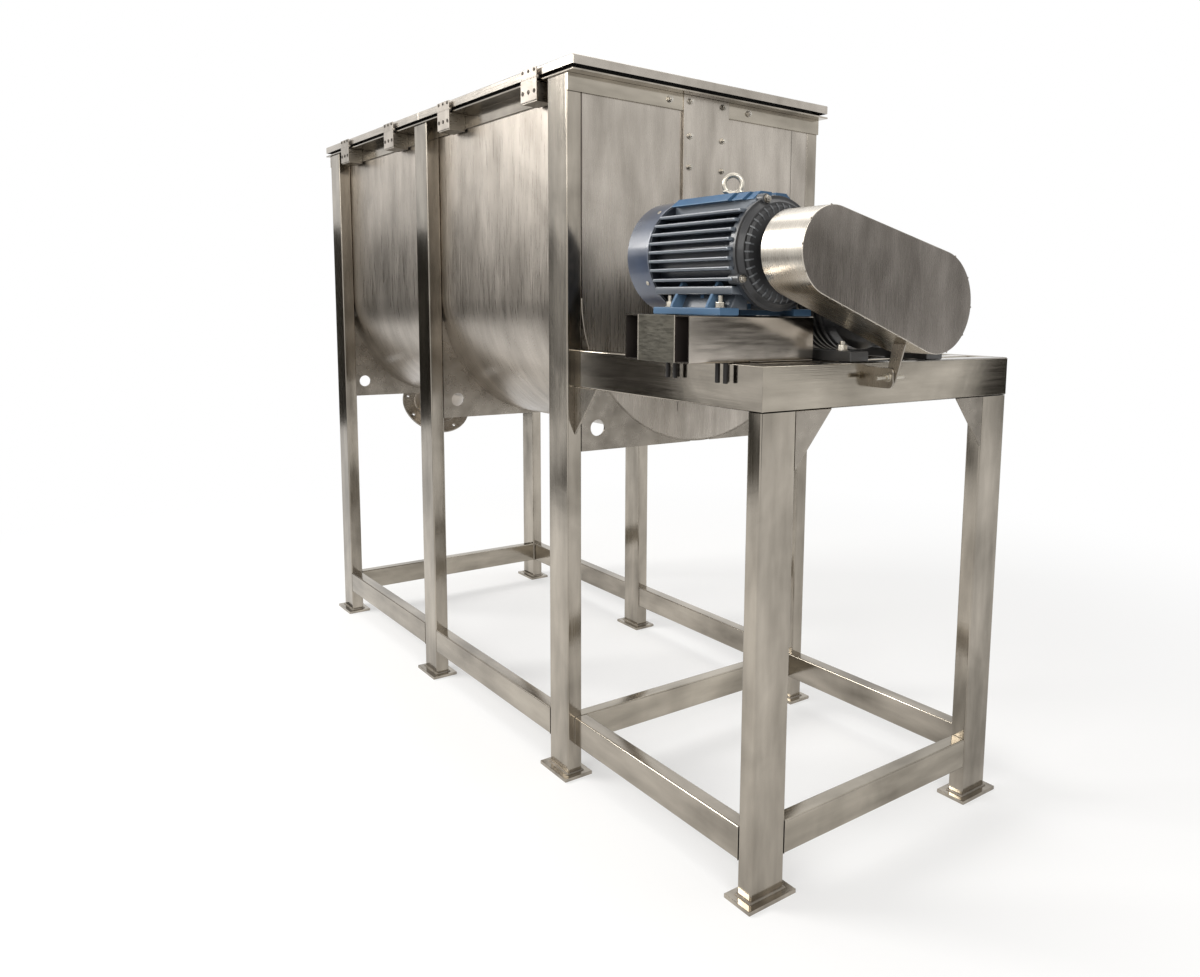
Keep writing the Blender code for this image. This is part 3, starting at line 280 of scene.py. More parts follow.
def done():
    bpy.ops.object.mode_set(mode="OBJECT")


def runs_along(axis):
    def test(edge):
        way = edge.verts[1].co - edge.verts[0].co
        return abs(way[axis]) > 0.999 * way.length
    return test


def above(axis, level):
    return lambda edge: min(corner.co[axis] for corner in edge.verts) > level


def below(axis, level):
    return lambda edge: max(corner.co[axis] for corner in edge.verts) < level


def sharper(angle):
    return lambda edge: edge.is_manifold and edge.calc_face_angle(0) > angle


def smooth(piece, angle=35):
    hold(piece)
    bpy.ops.object.shade_smooth_by_angle(angle=math.radians(angle))
    return piece


def soften(piece, width, steps=2, wanted=sharper(0.5)):
    """Rounds all of a piece's sharp edges, or those that pass a test, and shades it smooth."""
    pick(piece, wanted)
    bpy.ops.mesh.bevel(offset=width, segments=steps, profile=0.5, affect="EDGES",
                       clamp_overlap=True)
    done()
    return smooth(piece)


def round_edges(piece, wanted, width, steps=2):
    """Rounds the edges that pass a test at their full width, with no change of shading."""
    pick(piece, wanted)
    bpy.ops.mesh.bevel(offset=width, segments=steps, affect="EDGES")
    done()
    return piece


def noise(tree, spot, scale, detail, distortion=0.0):
    clouds = add_node(tree, "TexNoise", Scale=scale, Detail=detail, Distortion=distortion)
    tree.links.new(spot, clouds.inputs["Vector"])
    return clouds.outputs["Fac"]


def stretched(tree, spot, scale):
    comb = add_node(tree, "Mapping", Scale=scale)
    tree.links.new(spot, comb.inputs[0])
    return comb.outputs[0]


def tinted(tree, value, dark_end, dark, light_end, light):
    """A colour that goes from dark to light as a value goes from one end to the other."""
    tint = add_node(tree, "ValToRGB")
    for stop, place, colour in zip(tint.color_ramp.elements, (dark_end, light_end), (dark, light)):
        stop.position = place
        stop.color = (*colour, 1)
    tree.links.new(value, tint.inputs[0])
    return tint.outputs[0]


def spread(tree, value, least, most):
    """A noise's middle range, spread between two values."""
    gloss = add_node(tree, "MapRange", From_Min=0.3, From_Max=0.7, To_Min=least, To_Max=most)
    tree.links.new(value, gloss.inputs["Value"])
    return gloss.outputs[0]


def relief(tree, height, strength, distance, under=None):
    bump = add_node(tree, "Bump", Strength=strength, Distance=distance)
    tree.links.new(height, bump.inputs["Height"])
    if under:
        tree.links.new(under, bump.inputs["Normal"])
    return bump.outputs[0]


def steel(name, colour, rough, grain, depth, blotch, streak=0.10):
    """Stainless with a brushed grain; grain's long axis is the one with the smallest number."""
    material, tree, link = new_material(name)
    shader = tree.nodes["Principled BSDF"]
    shader.inputs["Metallic"].default_value = 1.0
    spot = add_node(tree, "TexCoord").outputs["Object"]
    lines = noise(tree, stretched(tree, spot, grain), 14.0, 6.0)
    cloud = noise(tree, spot, 3.1, 4.0, 0.6)
    smear = stretched(tree, spot, [max(0.35, min(value, 3.0)) for value in grain])
    both = add_node(tree, "Mix")
    both.inputs[0].default_value = 0.5
    link(cloud, both.inputs[2])
    link(noise(tree, smear, 5.5, 3.0), both.inputs[3])
    red, green, blue = [value * (1 - 1.6 * blotch) for value in colour]
    light = [min(1.0, value * (1 + blotch)) for value in colour]
    link(tinted(tree, both.outputs[0], 0.34, (red, green * 0.985, blue * 0.96), 0.66, light),
         shader.inputs["Base Color"])
    link(spread(tree, lines, rough * (1 - streak * 2), rough * (1 + streak * 3)),
         shader.inputs["Roughness"])
    brushed = relief(tree, lines, depth * 5, 0.0004)
    link(relief(tree, cloud, 0.22, 0.004, brushed), shader.inputs["Normal"])
    return material


leg_steel = steel("leg_steel", (0.37, 0.335, 0.285), 0.13, (30, 30, 0.6), 0.02, 0.30)
weld_steel = steel("weld_steel", (0.34, 0.31, 0.27), 0.50, (8, 8, 8), 0.08, 0.25)
leg_wide, leg_thin, leg_corner = 0.100, 0.045, 0.0045
foot_overhang, foot_thick, bead = 0.021, 0.010, 0.004
both_sides = (("left", -1), ("right", 1))
leg_boxes = {}


def foot(name, low, high):
    """A foot plate, and the bead of weld round its tube."""
    soften(block((low.x - foot_overhang, low.y - foot_overhang, 0),
                 (high.x + foot_overhang, high.y + foot_overhang, foot_thick)), 0.0012)
    take(f"{name}_foot_plate", leg_steel)
    run = block((low.x - bead, low.y - bead, foot_thick - 0.0005),
                (high.x + bead, high.y + bead, foot_thick + bead))
    smooth(round_edges(run, above(2, foot_thick + bead / 2), bead * 0.8))
    take(f"{name}_foot_weld", weld_steel)


for side, sign in both_sides:
    for station in ("rear", "mid", "front", "table"):
        node = f"table_leg_{side}" if station == "table" else f"trough_leg_{station}_{side}"
        low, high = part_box(node)
        wide_x, wide_y = (leg_thin, leg_wide) if station == "table" else (leg_wide, leg_thin)
        start_y = low.y + foot_overhang if sign < 0 else high.y - foot_overhang - wide_y
        leg_low = Vector((low.x + foot_overhang, start_y, foot_thick))
        leg_high = leg_low + Vector((wide_x, wide_y, high.z - foot_thick))
        leg_boxes[f"{station}_{side}"] = (leg_low, leg_high)
        soften(block(leg_low, leg_high), leg_corner, 3, runs_along(2))
        take(f"{node}_tube", leg_steel, stands_for=(node,))
        foot(node, leg_low, leg_high)

# Lower rails: polished tube set on edge between the legs. The welds at the ends are ground flush
# and show as fine bright seams.
rail_steel = steel("rail_steel", (0.37, 0.335, 0.285), 0.14, (0.6, 30, 30), 0.02, 0.30)
cross_steel = steel("cross_steel", (0.38, 0.345, 0.29), 0.14, (30, 0.6, 30), 0.02, 0.28)
tube_corner = 0.004
seam_half, seam_proud = 0.0012, 0.0006
for node in [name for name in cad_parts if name.startswith(("low_rail", "cross_rail"))]:
    low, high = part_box(node)
    along = 0 if node.startswith("low") else 1
    soften(block(low, high), tube_corner, 3, runs_along(along))
    take(f"{node}_tube", rail_steel if along == 0 else cross_steel, stands_for=(node,))
    for mark, end in (("a", low[along]), ("b", high[along])):
        seam_low = [value - seam_proud for value in low]
        seam_high = [value + seam_proud for value in high]
        seam_low[along] = max(low[along], end - seam_half)
        seam_high[along] = min(high[along], end + seam_half)
        soften(block(seam_low, seam_high), 0.0005, 1)
        take(f"{node}_seam_{mark}", weld_steel)


# Drive table: heavier tube, mitred at the two front corners, with two beams under the drive. The
# mitres are welded and ground.
def anything(item):
    return True


def slice_off(piece, point, outward):
    """Cuts the piece along a plane, keeps the inner side and closes the cut."""
    pick(piece, anything, "FACE")
    bpy.ops.mesh.bisect(plane_co=point, plane_no=Vector(outward).normalized(), use_fill=True,
                        clear_outer=True)
    done()
    return piece


table_low, table_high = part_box("table_frame")
rail_thin, rail_deep, mitre_gap = 0.050, 0.100, 0.0004
front_x = leg_boxes["table_left"][1].x
rail_top = table_high.z
rail_bottom = rail_top - rail_deep
table_edge = {"left": table_low.y, "right": table_high.y}
for side, sign in both_sides:
    outer_y = table_edge[side]
    rail = block((table_low.x, outer_y, rail_bottom),
                 (front_x, outer_y - sign * rail_thin, rail_top))
    soften(rail, tube_corner, 3, runs_along(0))
    slice_off(rail, (front_x - mitre_gap, outer_y, 0), (1, -sign, 0))
    take(f"table_rail_{side}_tube", rail_steel)
front_rail = block((front_x - rail_thin, table_low.y, rail_bottom),
                   (front_x, table_high.y, rail_top))
soften(front_rail, tube_corner, 3, runs_along(1))
for side, sign in both_sides:
    slice_off(front_rail, (front_x, table_edge[side], 0), (-1, sign, 0))
take("table_front_rail_tube", cross_steel, stands_for=("table_frame",))
for name, offset in (("rear", 0.341), ("front", 0.141)):
    start_x = front_x - offset
    beam = block((start_x, table_low.y + rail_thin, rail_bottom),
                 (start_x + rail_thin, table_high.y - rail_thin, rail_top))
    soften(beam, tube_corner, 3, runs_along(1))
    take(f"table_beam_{name}_tube", cross_steel)


# Gussets and cradle plates: sheet triangles brace the table, and plates with a round hole carry
# the trough at each leg. All are plasma cut, welded to the leg's inner face and brushed.
def carve(piece, tool, keep_tool=False):
    """Cuts a tool's shape out of a piece."""
    finish(piece, "BOOLEAN", object=tool, solver="EXACT")
    if not keep_tool:
        bpy.data.objects.remove(tool)
    return piece


def at(x, y, z):
    """A point measured from the trough's rear end and its centre plane."""
    return Vector((trough_low.x + x, trough_middle_y + y, z))


facing = ((0, math.pi / 2, 0), (-math.pi / 2, 0, 0), (0, 0, 0))


def drum(radius, start, length, axis=0, steps=48):
    """A round bar from a point along an axis."""
    deselect()
    middle = Vector(start)
    middle[axis] += length / 2
    bpy.ops.mesh.primitive_cylinder_add(vertices=steps, radius=radius, depth=length,
                                        location=middle, rotation=facing[axis])
    return settle()


def tilted_drum(radius, start, way, length, steps=64):
    """A round bar from a point in any direction."""
    deselect()
    bpy.ops.mesh.primitive_cylinder_add(vertices=steps, radius=radius, depth=length,
                                        location=Vector(start) + way * length / 2,
                                        rotation=way.to_track_quat("Z", "Y").to_euler())
    return settle()


plate_steel = steel("plate_steel", (0.33, 0.30, 0.26), 0.28, (20, 3, 3), 0.03, 0.24)
shaft_z = 1.340
plate_thick, plate_edge = 0.006, 0.0008
gusset_reach, gusset_deep = 0.110, 0.130
saddle, cradle_low, cradle_high, cradle_reach = 0.412, 0.926, 1.259, 0.038
weld_wide, weld_short = 0.004, 0.004
hole_radius, hole_z, hole_in = 0.023, 0.988, 0.0515
spout_lean, spout_x, pipe_clear = math.radians(39), -0.053, 0.0985
spout_way = Vector((math.cos(spout_lean), 0, math.sin(spout_lean)))
for side, sign in both_sides:
    low, high = leg_boxes[f"table_{side}"]
    edge = high.y if sign < 0 else low.y
    reach = edge - sign * gusset_reach
    brace = block((high.x - plate_thick, edge, rail_bottom - gusset_deep),
                  (high.x, reach, rail_bottom))
    slice_off(brace, (high.x, reach, rail_bottom), (0, -sign * gusset_deep, -gusset_reach))
    soften(brace, plate_edge, 1)
    take(f"table_gusset_{side}", plate_steel)
    start_x, outer_y = leg_boxes[f"front_{side}"][1].x, table_edge[side]
    brace = block((start_x, outer_y, rail_bottom - gusset_deep),
                  (start_x + gusset_reach, outer_y - sign * plate_thick, rail_bottom))
    slice_off(brace, (start_x + gusset_reach, outer_y, rail_bottom),
              (gusset_deep, 0, -gusset_reach))
    soften(brace, plate_edge, 1)
    take(f"rail_gusset_{side}", plate_steel)
for station in ("rear", "mid", "front"):
    for side, sign in both_sides:
        low, high = leg_boxes[f"{station}_{side}"]
        start_x = trough_low.x + 0.047 if station == "rear" else high.x - plate_thick
        edge = high.y if sign < 0 else low.y
        cradle = block((start_x, edge, cradle_low),
                       (start_x + plate_thick, trough_middle_y + sign * cradle_reach,
                        cradle_high))
        before_x, through = start_x - 0.05, 0.12
        carve(cradle, drum(saddle, (before_x, trough_middle_y, shaft_z), through, 0, 160))
        carve(cradle, drum(hole_radius, (before_x, edge - sign * hole_in, hole_z), through, 0, 40))
        if station == "rear":
            carve(cradle, tilted_drum(pipe_clear, at(spout_x, 0, 0.863), spout_way, 0.4))
        smooth(cradle)
        take(f"cradle_{station}_{side}", plate_steel)
        weld = block((start_x - 0.003, edge, cradle_low + weld_short),
                     (start_x + 0.0005, edge - sign * weld_wide, cradle_high - weld_short))
        soften(weld, 0.0015, 2, runs_along(2))
        take(f"cradle_weld_{station}_{side}", weld_steel)


# Trough: one sheet bent to a U and welded to flat end plates, with a bridge bar across the mouth
# under the lids' split. The sheet is satin rolled and shows upright streaks.
def cast(name, colour, rough, blotch, grain=60.0, relief_deep=0.25, coat=0.0, metal=0.0, edge=None):
    """Paint, cast metal or rubber: a clouded colour over a fine grain, and if wanted a lighter
    colour on sharp edges, partly wear and partly a painted highlight.
    """
    material, tree, link = new_material(name)
    shader = tree.nodes["Principled BSDF"]
    for socket, value in (("Metallic", metal), ("Coat Weight", coat), ("Coat Roughness", 0.12)):
        shader.inputs[socket].default_value = value
    spot = add_node(tree, "TexCoord").outputs["Object"]
    cloud = noise(tree, spot, 9.0, 6.0)
    dark = [value * (1 - blotch) for value in colour]
    light = [min(1.0, value * (1 + blotch)) for value in colour]
    finish_colour = tinted(tree, cloud, 0.32, dark, 0.70, light)
    if edge:
        # sharp edges turn lighter: partly wear, partly a painted highlight along the edges
        edge_wear_and_sheen = add_node(tree, "MapRange", From_Min=0.53, From_Max=0.62)
        link(add_node(tree, "NewGeometry").outputs["Pointiness"], edge_wear_and_sheen.inputs["Value"])
        mix = add_node(tree, "Mix")
        mix.data_type = "RGBA"
        mix.inputs[7].default_value = (*edge, 1)
        link(edge_wear_and_sheen.outputs[0], mix.inputs[0])
        link(finish_colour, mix.inputs[6])
        finish_colour = mix.outputs[2]
    link(finish_colour, shader.inputs["Base Color"])
    link(spread(tree, cloud, rough * 0.8, min(1.0, rough * 1.25)), shader.inputs["Roughness"])
    fine = noise(tree, spot, grain * 10, 3.0)
    link(relief(tree, fine, relief_deep, 0.0006), shader.inputs["Normal"])
    return material


def mend(merge=None, fill=False):
    """Merges doubles and closes holes if wanted, turns all faces outwards and ends the edit."""
    bpy.ops.mesh.select_all(action="SELECT")
    if merge:
        bpy.ops.mesh.remove_doubles(threshold=merge)
    if fill:
        bpy.ops.mesh.fill_holes(sides=0)
        bpy.ops.mesh.select_all(action="SELECT")
    bpy.ops.mesh.normals_make_consistent(inside=False)
    done()


def stretch_edges(way):
    bpy.ops.mesh.extrude_edges_move(TRANSFORM_OT_translate={"value": way})


shell_steel = steel("shell_steel", (0.41, 0.37, 0.325), 0.30, (24, 0.8, 0.8), 0.03, 0.22)
front_steel = steel("front_steel", (0.48, 0.44, 0.39), 0.28, (3, 26, 0.7), 0.03, 0.22)
seam_line = cast("seam_line", (0.05, 0.043, 0.035), 0.6, 0.3)
gap = 0.0003
shell_reach, shell_wall = 0.4117, 0.004
rim_z = trough_high.z
wall_high = (0, 0, rim_z - shaft_z)
trough_long, end_plate_thick = 1.894, 0.006
shaft_hole = 0.0583
deselect()
side_middle = at(trough_long / 2, -shell_reach, (shaft_z + rim_z) / 2)
bpy.ops.mesh.primitive_plane_add(size=1, location=side_middle, rotation=(math.pi / 2, 0, 0))
shell = settle()
pick(shell, anything, "FACE")
bpy.ops.transform.resize(value=(trough_long, 1, rim_z - shaft_z), center_override=side_middle)
done()
pick(shell, below(2, shaft_z + 0.001))
bpy.ops.mesh.spin(steps=96, angle=-math.pi, center=at(0, 0, shaft_z), axis=(1, 0, 0),
                  use_auto_merge=False)
done()
pick(shell, lambda edge: above(1, trough_middle_y + 0.1)(edge) and above(2, shaft_z - 0.0001)(edge))
stretch_edges(wall_high)
mend(merge=0.0001)
low_face = min(shell.data.polygons, key=lambda face: face.center.z)
if low_face.normal.z > 0:
    pick(shell, anything, "FACE")
    bpy.ops.mesh.flip_normals()
    done()
finish(shell, "SOLIDIFY", thickness=shell_wall, offset=-1)
spout_start = at(spout_x, 0, shaft_z - shell_reach - 0.0653) - spout_way * 0.010
pipe_radius, pipe_bore, flange_radius, flange_thick = 0.098, 0.094, 0.152, 0.010


def spout_bore(length, steps=64):
    return tilted_drum(pipe_bore, spout_start - spout_way * 0.02, spout_way, length, steps)


carve(shell, spout_bore(0.40))
smooth(shell, 30)
take("trough_shell_sheet", shell_steel, stands_for=("trough_shell",))


def u_plate(name, start_x):
    """An end plate in the trough's U outline, with the shaft's hole."""
    deselect()
    bpy.ops.mesh.primitive_circle_add(vertices=160, radius=shell_reach - shell_wall,
                                      fill_type="NGON", location=at(start_x, 0, shaft_z),
                                      rotation=facing[0])
    piece = settle()
    pick(piece, anything, "FACE")
    bpy.ops.mesh.bisect(plane_co=(0, 0, shaft_z), plane_no=(0, 0, 1), clear_outer=True)
    done()
    pick(piece, above(2, shaft_z - 0.0001))
    stretch_edges(wall_high)
    bpy.ops.mesh.select_mode(type="FACE")
    bpy.ops.mesh.select_all(action="SELECT")
    bpy.ops.mesh.dissolve_limited(angle_limit=math.radians(0.5))
    bpy.ops.mesh.select_all(action="SELECT")
    bpy.ops.mesh.extrude_region_move(TRANSFORM_OT_translate={"value": (end_plate_thick, 0, 0)})
    mend()
    carve(piece, drum(shaft_hole, at(start_x - 0.02, 0, shaft_z), 0.06, 0, 64))
    smooth(piece)
    return take(name, front_steel)


carve(u_plate("trough_end_rear", 0), spout_bore(0.40))
u_plate("trough_end_front", trough_long - end_plate_thick)
# the fillet welds that join the end plates to the sheet run round the outside of the U
for name, weld_x in (("rear", gap), ("front", trough_long - gap)):
    deselect()
    bpy.ops.mesh.primitive_circle_add(vertices=8, radius=0.0022,
                                      location=at(weld_x, -shell_reach, shaft_z))
    bead_line = settle()
    pick(bead_line, anything)
    bpy.ops.mesh.spin(steps=96, angle=-math.pi, center=at(0, 0, shaft_z), axis=(1, 0, 0))
    mend(merge=0.0001, fill=True)
    smooth(bead_line, 60)
    take(f"trough_weld_{name}", weld_steel)
split_x, bridge_x, bridge_half, bridge_reach, bridge_deep = 0.936, 0.938, 0.030, 0.409, 0.040
bridge = block(at(bridge_x - bridge_half, -bridge_reach, rim_z - bridge_deep),
               at(bridge_x + bridge_half, bridge_reach, rim_z))
soften(bridge, tube_corner, 3, runs_along(1))
take("bridge_bar_tube", cross_steel)
# fine upright scribes on the front plate, where its sheets are welded and brushed flush
for number, (seam_y, width, seam_z) in enumerate(((-0.0856, 0.0016, 1.02), (0.0850, 0.0010, 1.02),
                                                  (0.345, 0.0012, 1.10)), 1):
    soften(block(at(trough_long - gap, seam_y - width / 2, seam_z),
                 at(trough_long + 0.0005, seam_y + width / 2, 1.868)), 0.0002, 1)
    take(f"front_plate_seam_{number}", seam_line)


# Discharge spout: an oblique stainless pipe let into the trough's rear corner and welded to it,
# with a ring flange that is drilled with eight holes.
def fuse(pieces):
    """Joins pieces into the first one."""
    deselect()
    for piece in pieces:
        piece.select_set(True)
    bpy.context.view_layer.objects.active = pieces[0]
    bpy.ops.object.join()
    return pieces[0]


def on_circle(radius, count, offset=0.0):
    """Points spaced evenly on a circle, as (across, up, number)."""
    angles = [math.tau * (number + offset) / count for number in range(count)]
    return [(radius * math.cos(angle), radius * math.sin(angle), number)
            for number, angle in enumerate(angles)]


spout_pipe = tilted_drum(pipe_radius, spout_start + spout_way * 0.006, spout_way, 0.40, 96)
bore = spout_bore(0.46, 96)
flange = tilted_drum(flange_radius, spout_start, spout_way, flange_thick, 96)
soften(flange, 0.0012)
carve(spout_pipe, bore, keep_tool=True)
carve(flange, bore)
carve(spout_pipe, drum(shell_reach, at(-gap, 0, shaft_z), 0.8, 0, 128))
hole_ring, flange_hole, weld_leg = 0.130, 0.007, 0.004
side_way = Vector((0, 1, 0))
over_way = spout_way.cross(side_way)
holes = []
for across, over, number in on_circle(hole_ring, 8, 0.5):
    spot = spout_start + side_way * across + over_way * over
    holes.append(tilted_drum(flange_hole, spot - spout_way * 0.01, spout_way, 0.03, 24))
carve(flange, fuse(holes))
smooth(spout_pipe)
take("spout_pipe", shell_steel, stands_for=("discharge_spout",))
smooth(flange)
take("spout_flange", plate_steel)
fillet = tilted_drum(pipe_radius + weld_leg, spout_start + spout_way * flange_thick, spout_way,
                     weld_leg, 64)
fillet_top = flange_thick + weld_leg - 0.0005
round_edges(fillet, lambda edge: all((corner.co - spout_start).dot(spout_way) > fillet_top
                                     for corner in edge.verts), 0.0035)
carve(fillet, tilted_drum(0.0975, spout_start, spout_way, 0.03))
smooth(fillet)
take("spout_weld", weld_steel)

# Fasteners: stainless hexagon bolts on the trough and the end shield, and zinc plated ones on the
# drive, with washers. Each kind is made once, turned and chamfered, and copied to its places.
bolt_steel = steel("bolt_steel", (0.50, 0.47, 0.42), 0.26, (20, 20, 20), 0.008, 0.25)
zinc_bolt = steel("zinc_bolt", (0.52, 0.485, 0.42), 0.32, (20, 20, 20), 0.008, 0.25)
washer_thick = 0.002


def hex_bolt(across, head, washer, stud=0.0, stud_radius=None):
    """A hexagon head or nut on a washer, standing on the origin along Z, with its thread's end."""
    parts = [soften(drum(washer, (0, 0, 0), washer_thick, 2, 32), 0.0004, 1)]
    nut = drum(across / 2, (0, 0, washer_thick), head, 2, 6)
    parts.append(round_edges(nut, above(2, washer_thick + head * 0.9), across * 0.055))
    if stud:
        end = drum(stud_radius or across * 0.27, (0, 0, washer_thick + head * 0.5),
                   head * 0.5 + stud, 2, 20)
        parts.append(soften(end, across * 0.03, 1))
    return smooth(fuse(parts), 30)


def set_out(pattern, spots, name, material, body="frame"):
    """Copies a pattern that stands on the origin to each spot (point, direction, spin)."""
    copies = []
    for point, way, roll in spots:
        copy = pattern.copy()
        copy.data = pattern.data.copy()
        bpy.context.scene.collection.objects.link(copy)
        turn_to = Vector(way).to_track_quat("Z", "Y").to_matrix().to_4x4()
        copy.matrix_world = Matrix.Translation(point) @ turn_to @ Matrix.Rotation(roll, 4, "Z")
        hold(copy)
        copies.append(settle())
    bpy.data.objects.remove(pattern)
    hold(fuse(copies))
    return take(name, material, body)


# Rim: a flat flange round the mouth with uprights turned down under it, and the centre strips
# that carry the bearings. Bolts go through the strips and the uprights behind them.
rim_low, rim_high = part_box("rim_frame")
flange_deep, upright_reach = 0.005, 0.457
rim = block((rim_low.x, rim_low.y, rim_z - flange_deep), (rim_high.x, rim_high.y, rim_z))
carve(rim, block(at(-gap, -shell_reach - gap, rim_z - 0.05),
                 at(trough_long + gap, shell_reach + gap, rim_z + 0.05)))
soften(rim, 0.0010)
take("rim_flange", rail_steel, stands_for=("rim_frame",))
upright_thick, upright_low, upright_high = 0.005, rim_z - 0.050, rim_z - 0.0048
spans = [("rear", -gap - upright_thick, -gap, -upright_reach, upright_reach),
         ("front", trough_long + gap, trough_long + gap + upright_thick, -upright_reach,
          upright_reach)]
for side, low_y in (("left", -0.417), ("right", 0.412)):
    spans.append((f"mid_{side}", 0.1003, 0.8857, low_y, low_y + upright_thick))
    spans.append((f"near_{side}", 0.9863, 1.7937, low_y, low_y + upright_thick))
for name, low_x, high_x, low_y, high_y in spans:
    soften(block(at(low_x, low_y, upright_low), at(high_x, high_y, upright_high)), 0.0012)
    take(f"rim_upright_{name}", cross_steel if name in ("rear", "front") else rail_steel)
strip_half, strip_thick = 0.083, 0.008
strip_bolts = []
for name, out, inner in (("rear", -1, -gap), ("front", 1, trough_long + gap)):
    strip = block(at(inner, -strip_half, shaft_z - 0.150),
                  at(inner + out * strip_thick, strip_half, rim_z - 0.0052))
    carve(strip, drum(shaft_hole, at(min(inner, inner + out * strip_thick) - 0.02, 0, shaft_z),
                      0.06, 0, 64))
    soften(strip, 0.0010)
    take(f"{name}_strip_plate", front_steel, stands_for=(f"{name}_centre_strip",))
for out, face in ((1, trough_long + gap + strip_thick), (-1, -gap - strip_thick)):
    for up in (1.897, 1.802, 1.716, 1.245):
        strip_bolts += [(at(face, across, up), (out, 0, 0), 0.3 * up) for across in (-0.060, 0.060)]
    strip_bolts += [(at(face - out * 0.003, across, 1.893), (out, 0, 0), across)
                    for across in (-0.130, 0.161)]
set_out(hex_bolt(0.0155, 0.0065, 0.0095, 0.003), strip_bolts, "strip_bolts", bolt_steel)

# Gaskets: black sponge rubber, one ring under each lid. They are cut from strip and glued to the
# rim's flat flange.
sponge = cast("sponge", (0.018, 0.017, 0.016), 0.85, 0.35, 40, 0.9)
border = Vector((0.024, 0.024, -0.05))
for name in ("rear", "front"):
    low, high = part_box(f"{name}_lid_gasket")
    strip = block(low, high)
    carve(strip, block(low + border, high - border))
    soften(strip, 0.0030)
    take(f"{name}_gasket_strip", sponge, stands_for=(f"{name}_lid_gasket",), body="frame")

# Lids: polished pans of thin sheet with turned-down edges. The flats are a little wavy, as rolled
# sheet is, and the corners are folded tight and welded.
lid_steel = steel("lid_steel", (0.44, 0.405, 0.36), 0.26, (0.8, 26, 10), 0.02, 0.16)
lid_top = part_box("rear_lid")[1].z
lid_half, lid_over, lid_deep, flat_border = 0.462, 0.039, 0.024, 0.030
lid_sheet, wave_deep = 0.003, 0.0005
for name, start, end in (("rear", -lid_over, split_x),
                         ("front", split_x + 0.004, trough_long + lid_over)):
    low, high = at(start, -lid_half, lid_top - lid_deep), at(end, lid_half, lid_top)
    pan = block(low, high)
    pick(pan, lambda face: face.normal.z < -0.5, "FACE")
    bpy.ops.mesh.delete(type="ONLY_FACE")
    done()
    pick(pan, lambda face: face.normal.z > 0.5, "FACE")
    bpy.ops.mesh.inset(thickness=flat_border)
    bpy.ops.mesh.subdivide(number_cuts=14)
    done()
    for vertex in pan.data.vertices:
        spot = vertex.co
        inward = min(spot.x - low.x, high.x - spot.x, spot.y - low.y, high.y - spot.y)
        if spot.z > lid_top - 0.001 and inward > flat_border + 0.001:
            wave = (math.sin(9.0 * spot.x + 2.0) * math.cos(7.5 * spot.y)
                    + 0.6 * math.sin(17 * spot.y + 5 * spot.x))
            fade_in = min(1.0, (inward - flat_border) / 0.12)
            vertex.co.z -= wave_deep * (1.3 + 0.8 * wave) * fade_in
    round_edges(pan, sharper(0.8), 0.0035, 3)
    finish(pan, "SOLIDIFY", thickness=lid_sheet, offset=-1)
    smooth(pan, 40)
    take(f"{name}_lid_pan", lid_steel, f"{name}_lid_body", stands_for=(f"{name}_lid",))


# Hinges: a folded bracket welded under the rim carries the fixed leaf, the other leaf is screwed
# to the lid's edge, and a pin runs through five knuckles.
def slotted_head(radius, high, rounding, steps, slot_half, slot_floor):
    """A round screw head with a driver's slot, standing on the origin along Z."""
    head = soften(drum(radius, (0, 0, 0), high, 2, 24), rounding, steps)
    return carve(head, block((-0.01, -slot_half, slot_floor), (0.01, slot_half, 0.01)))


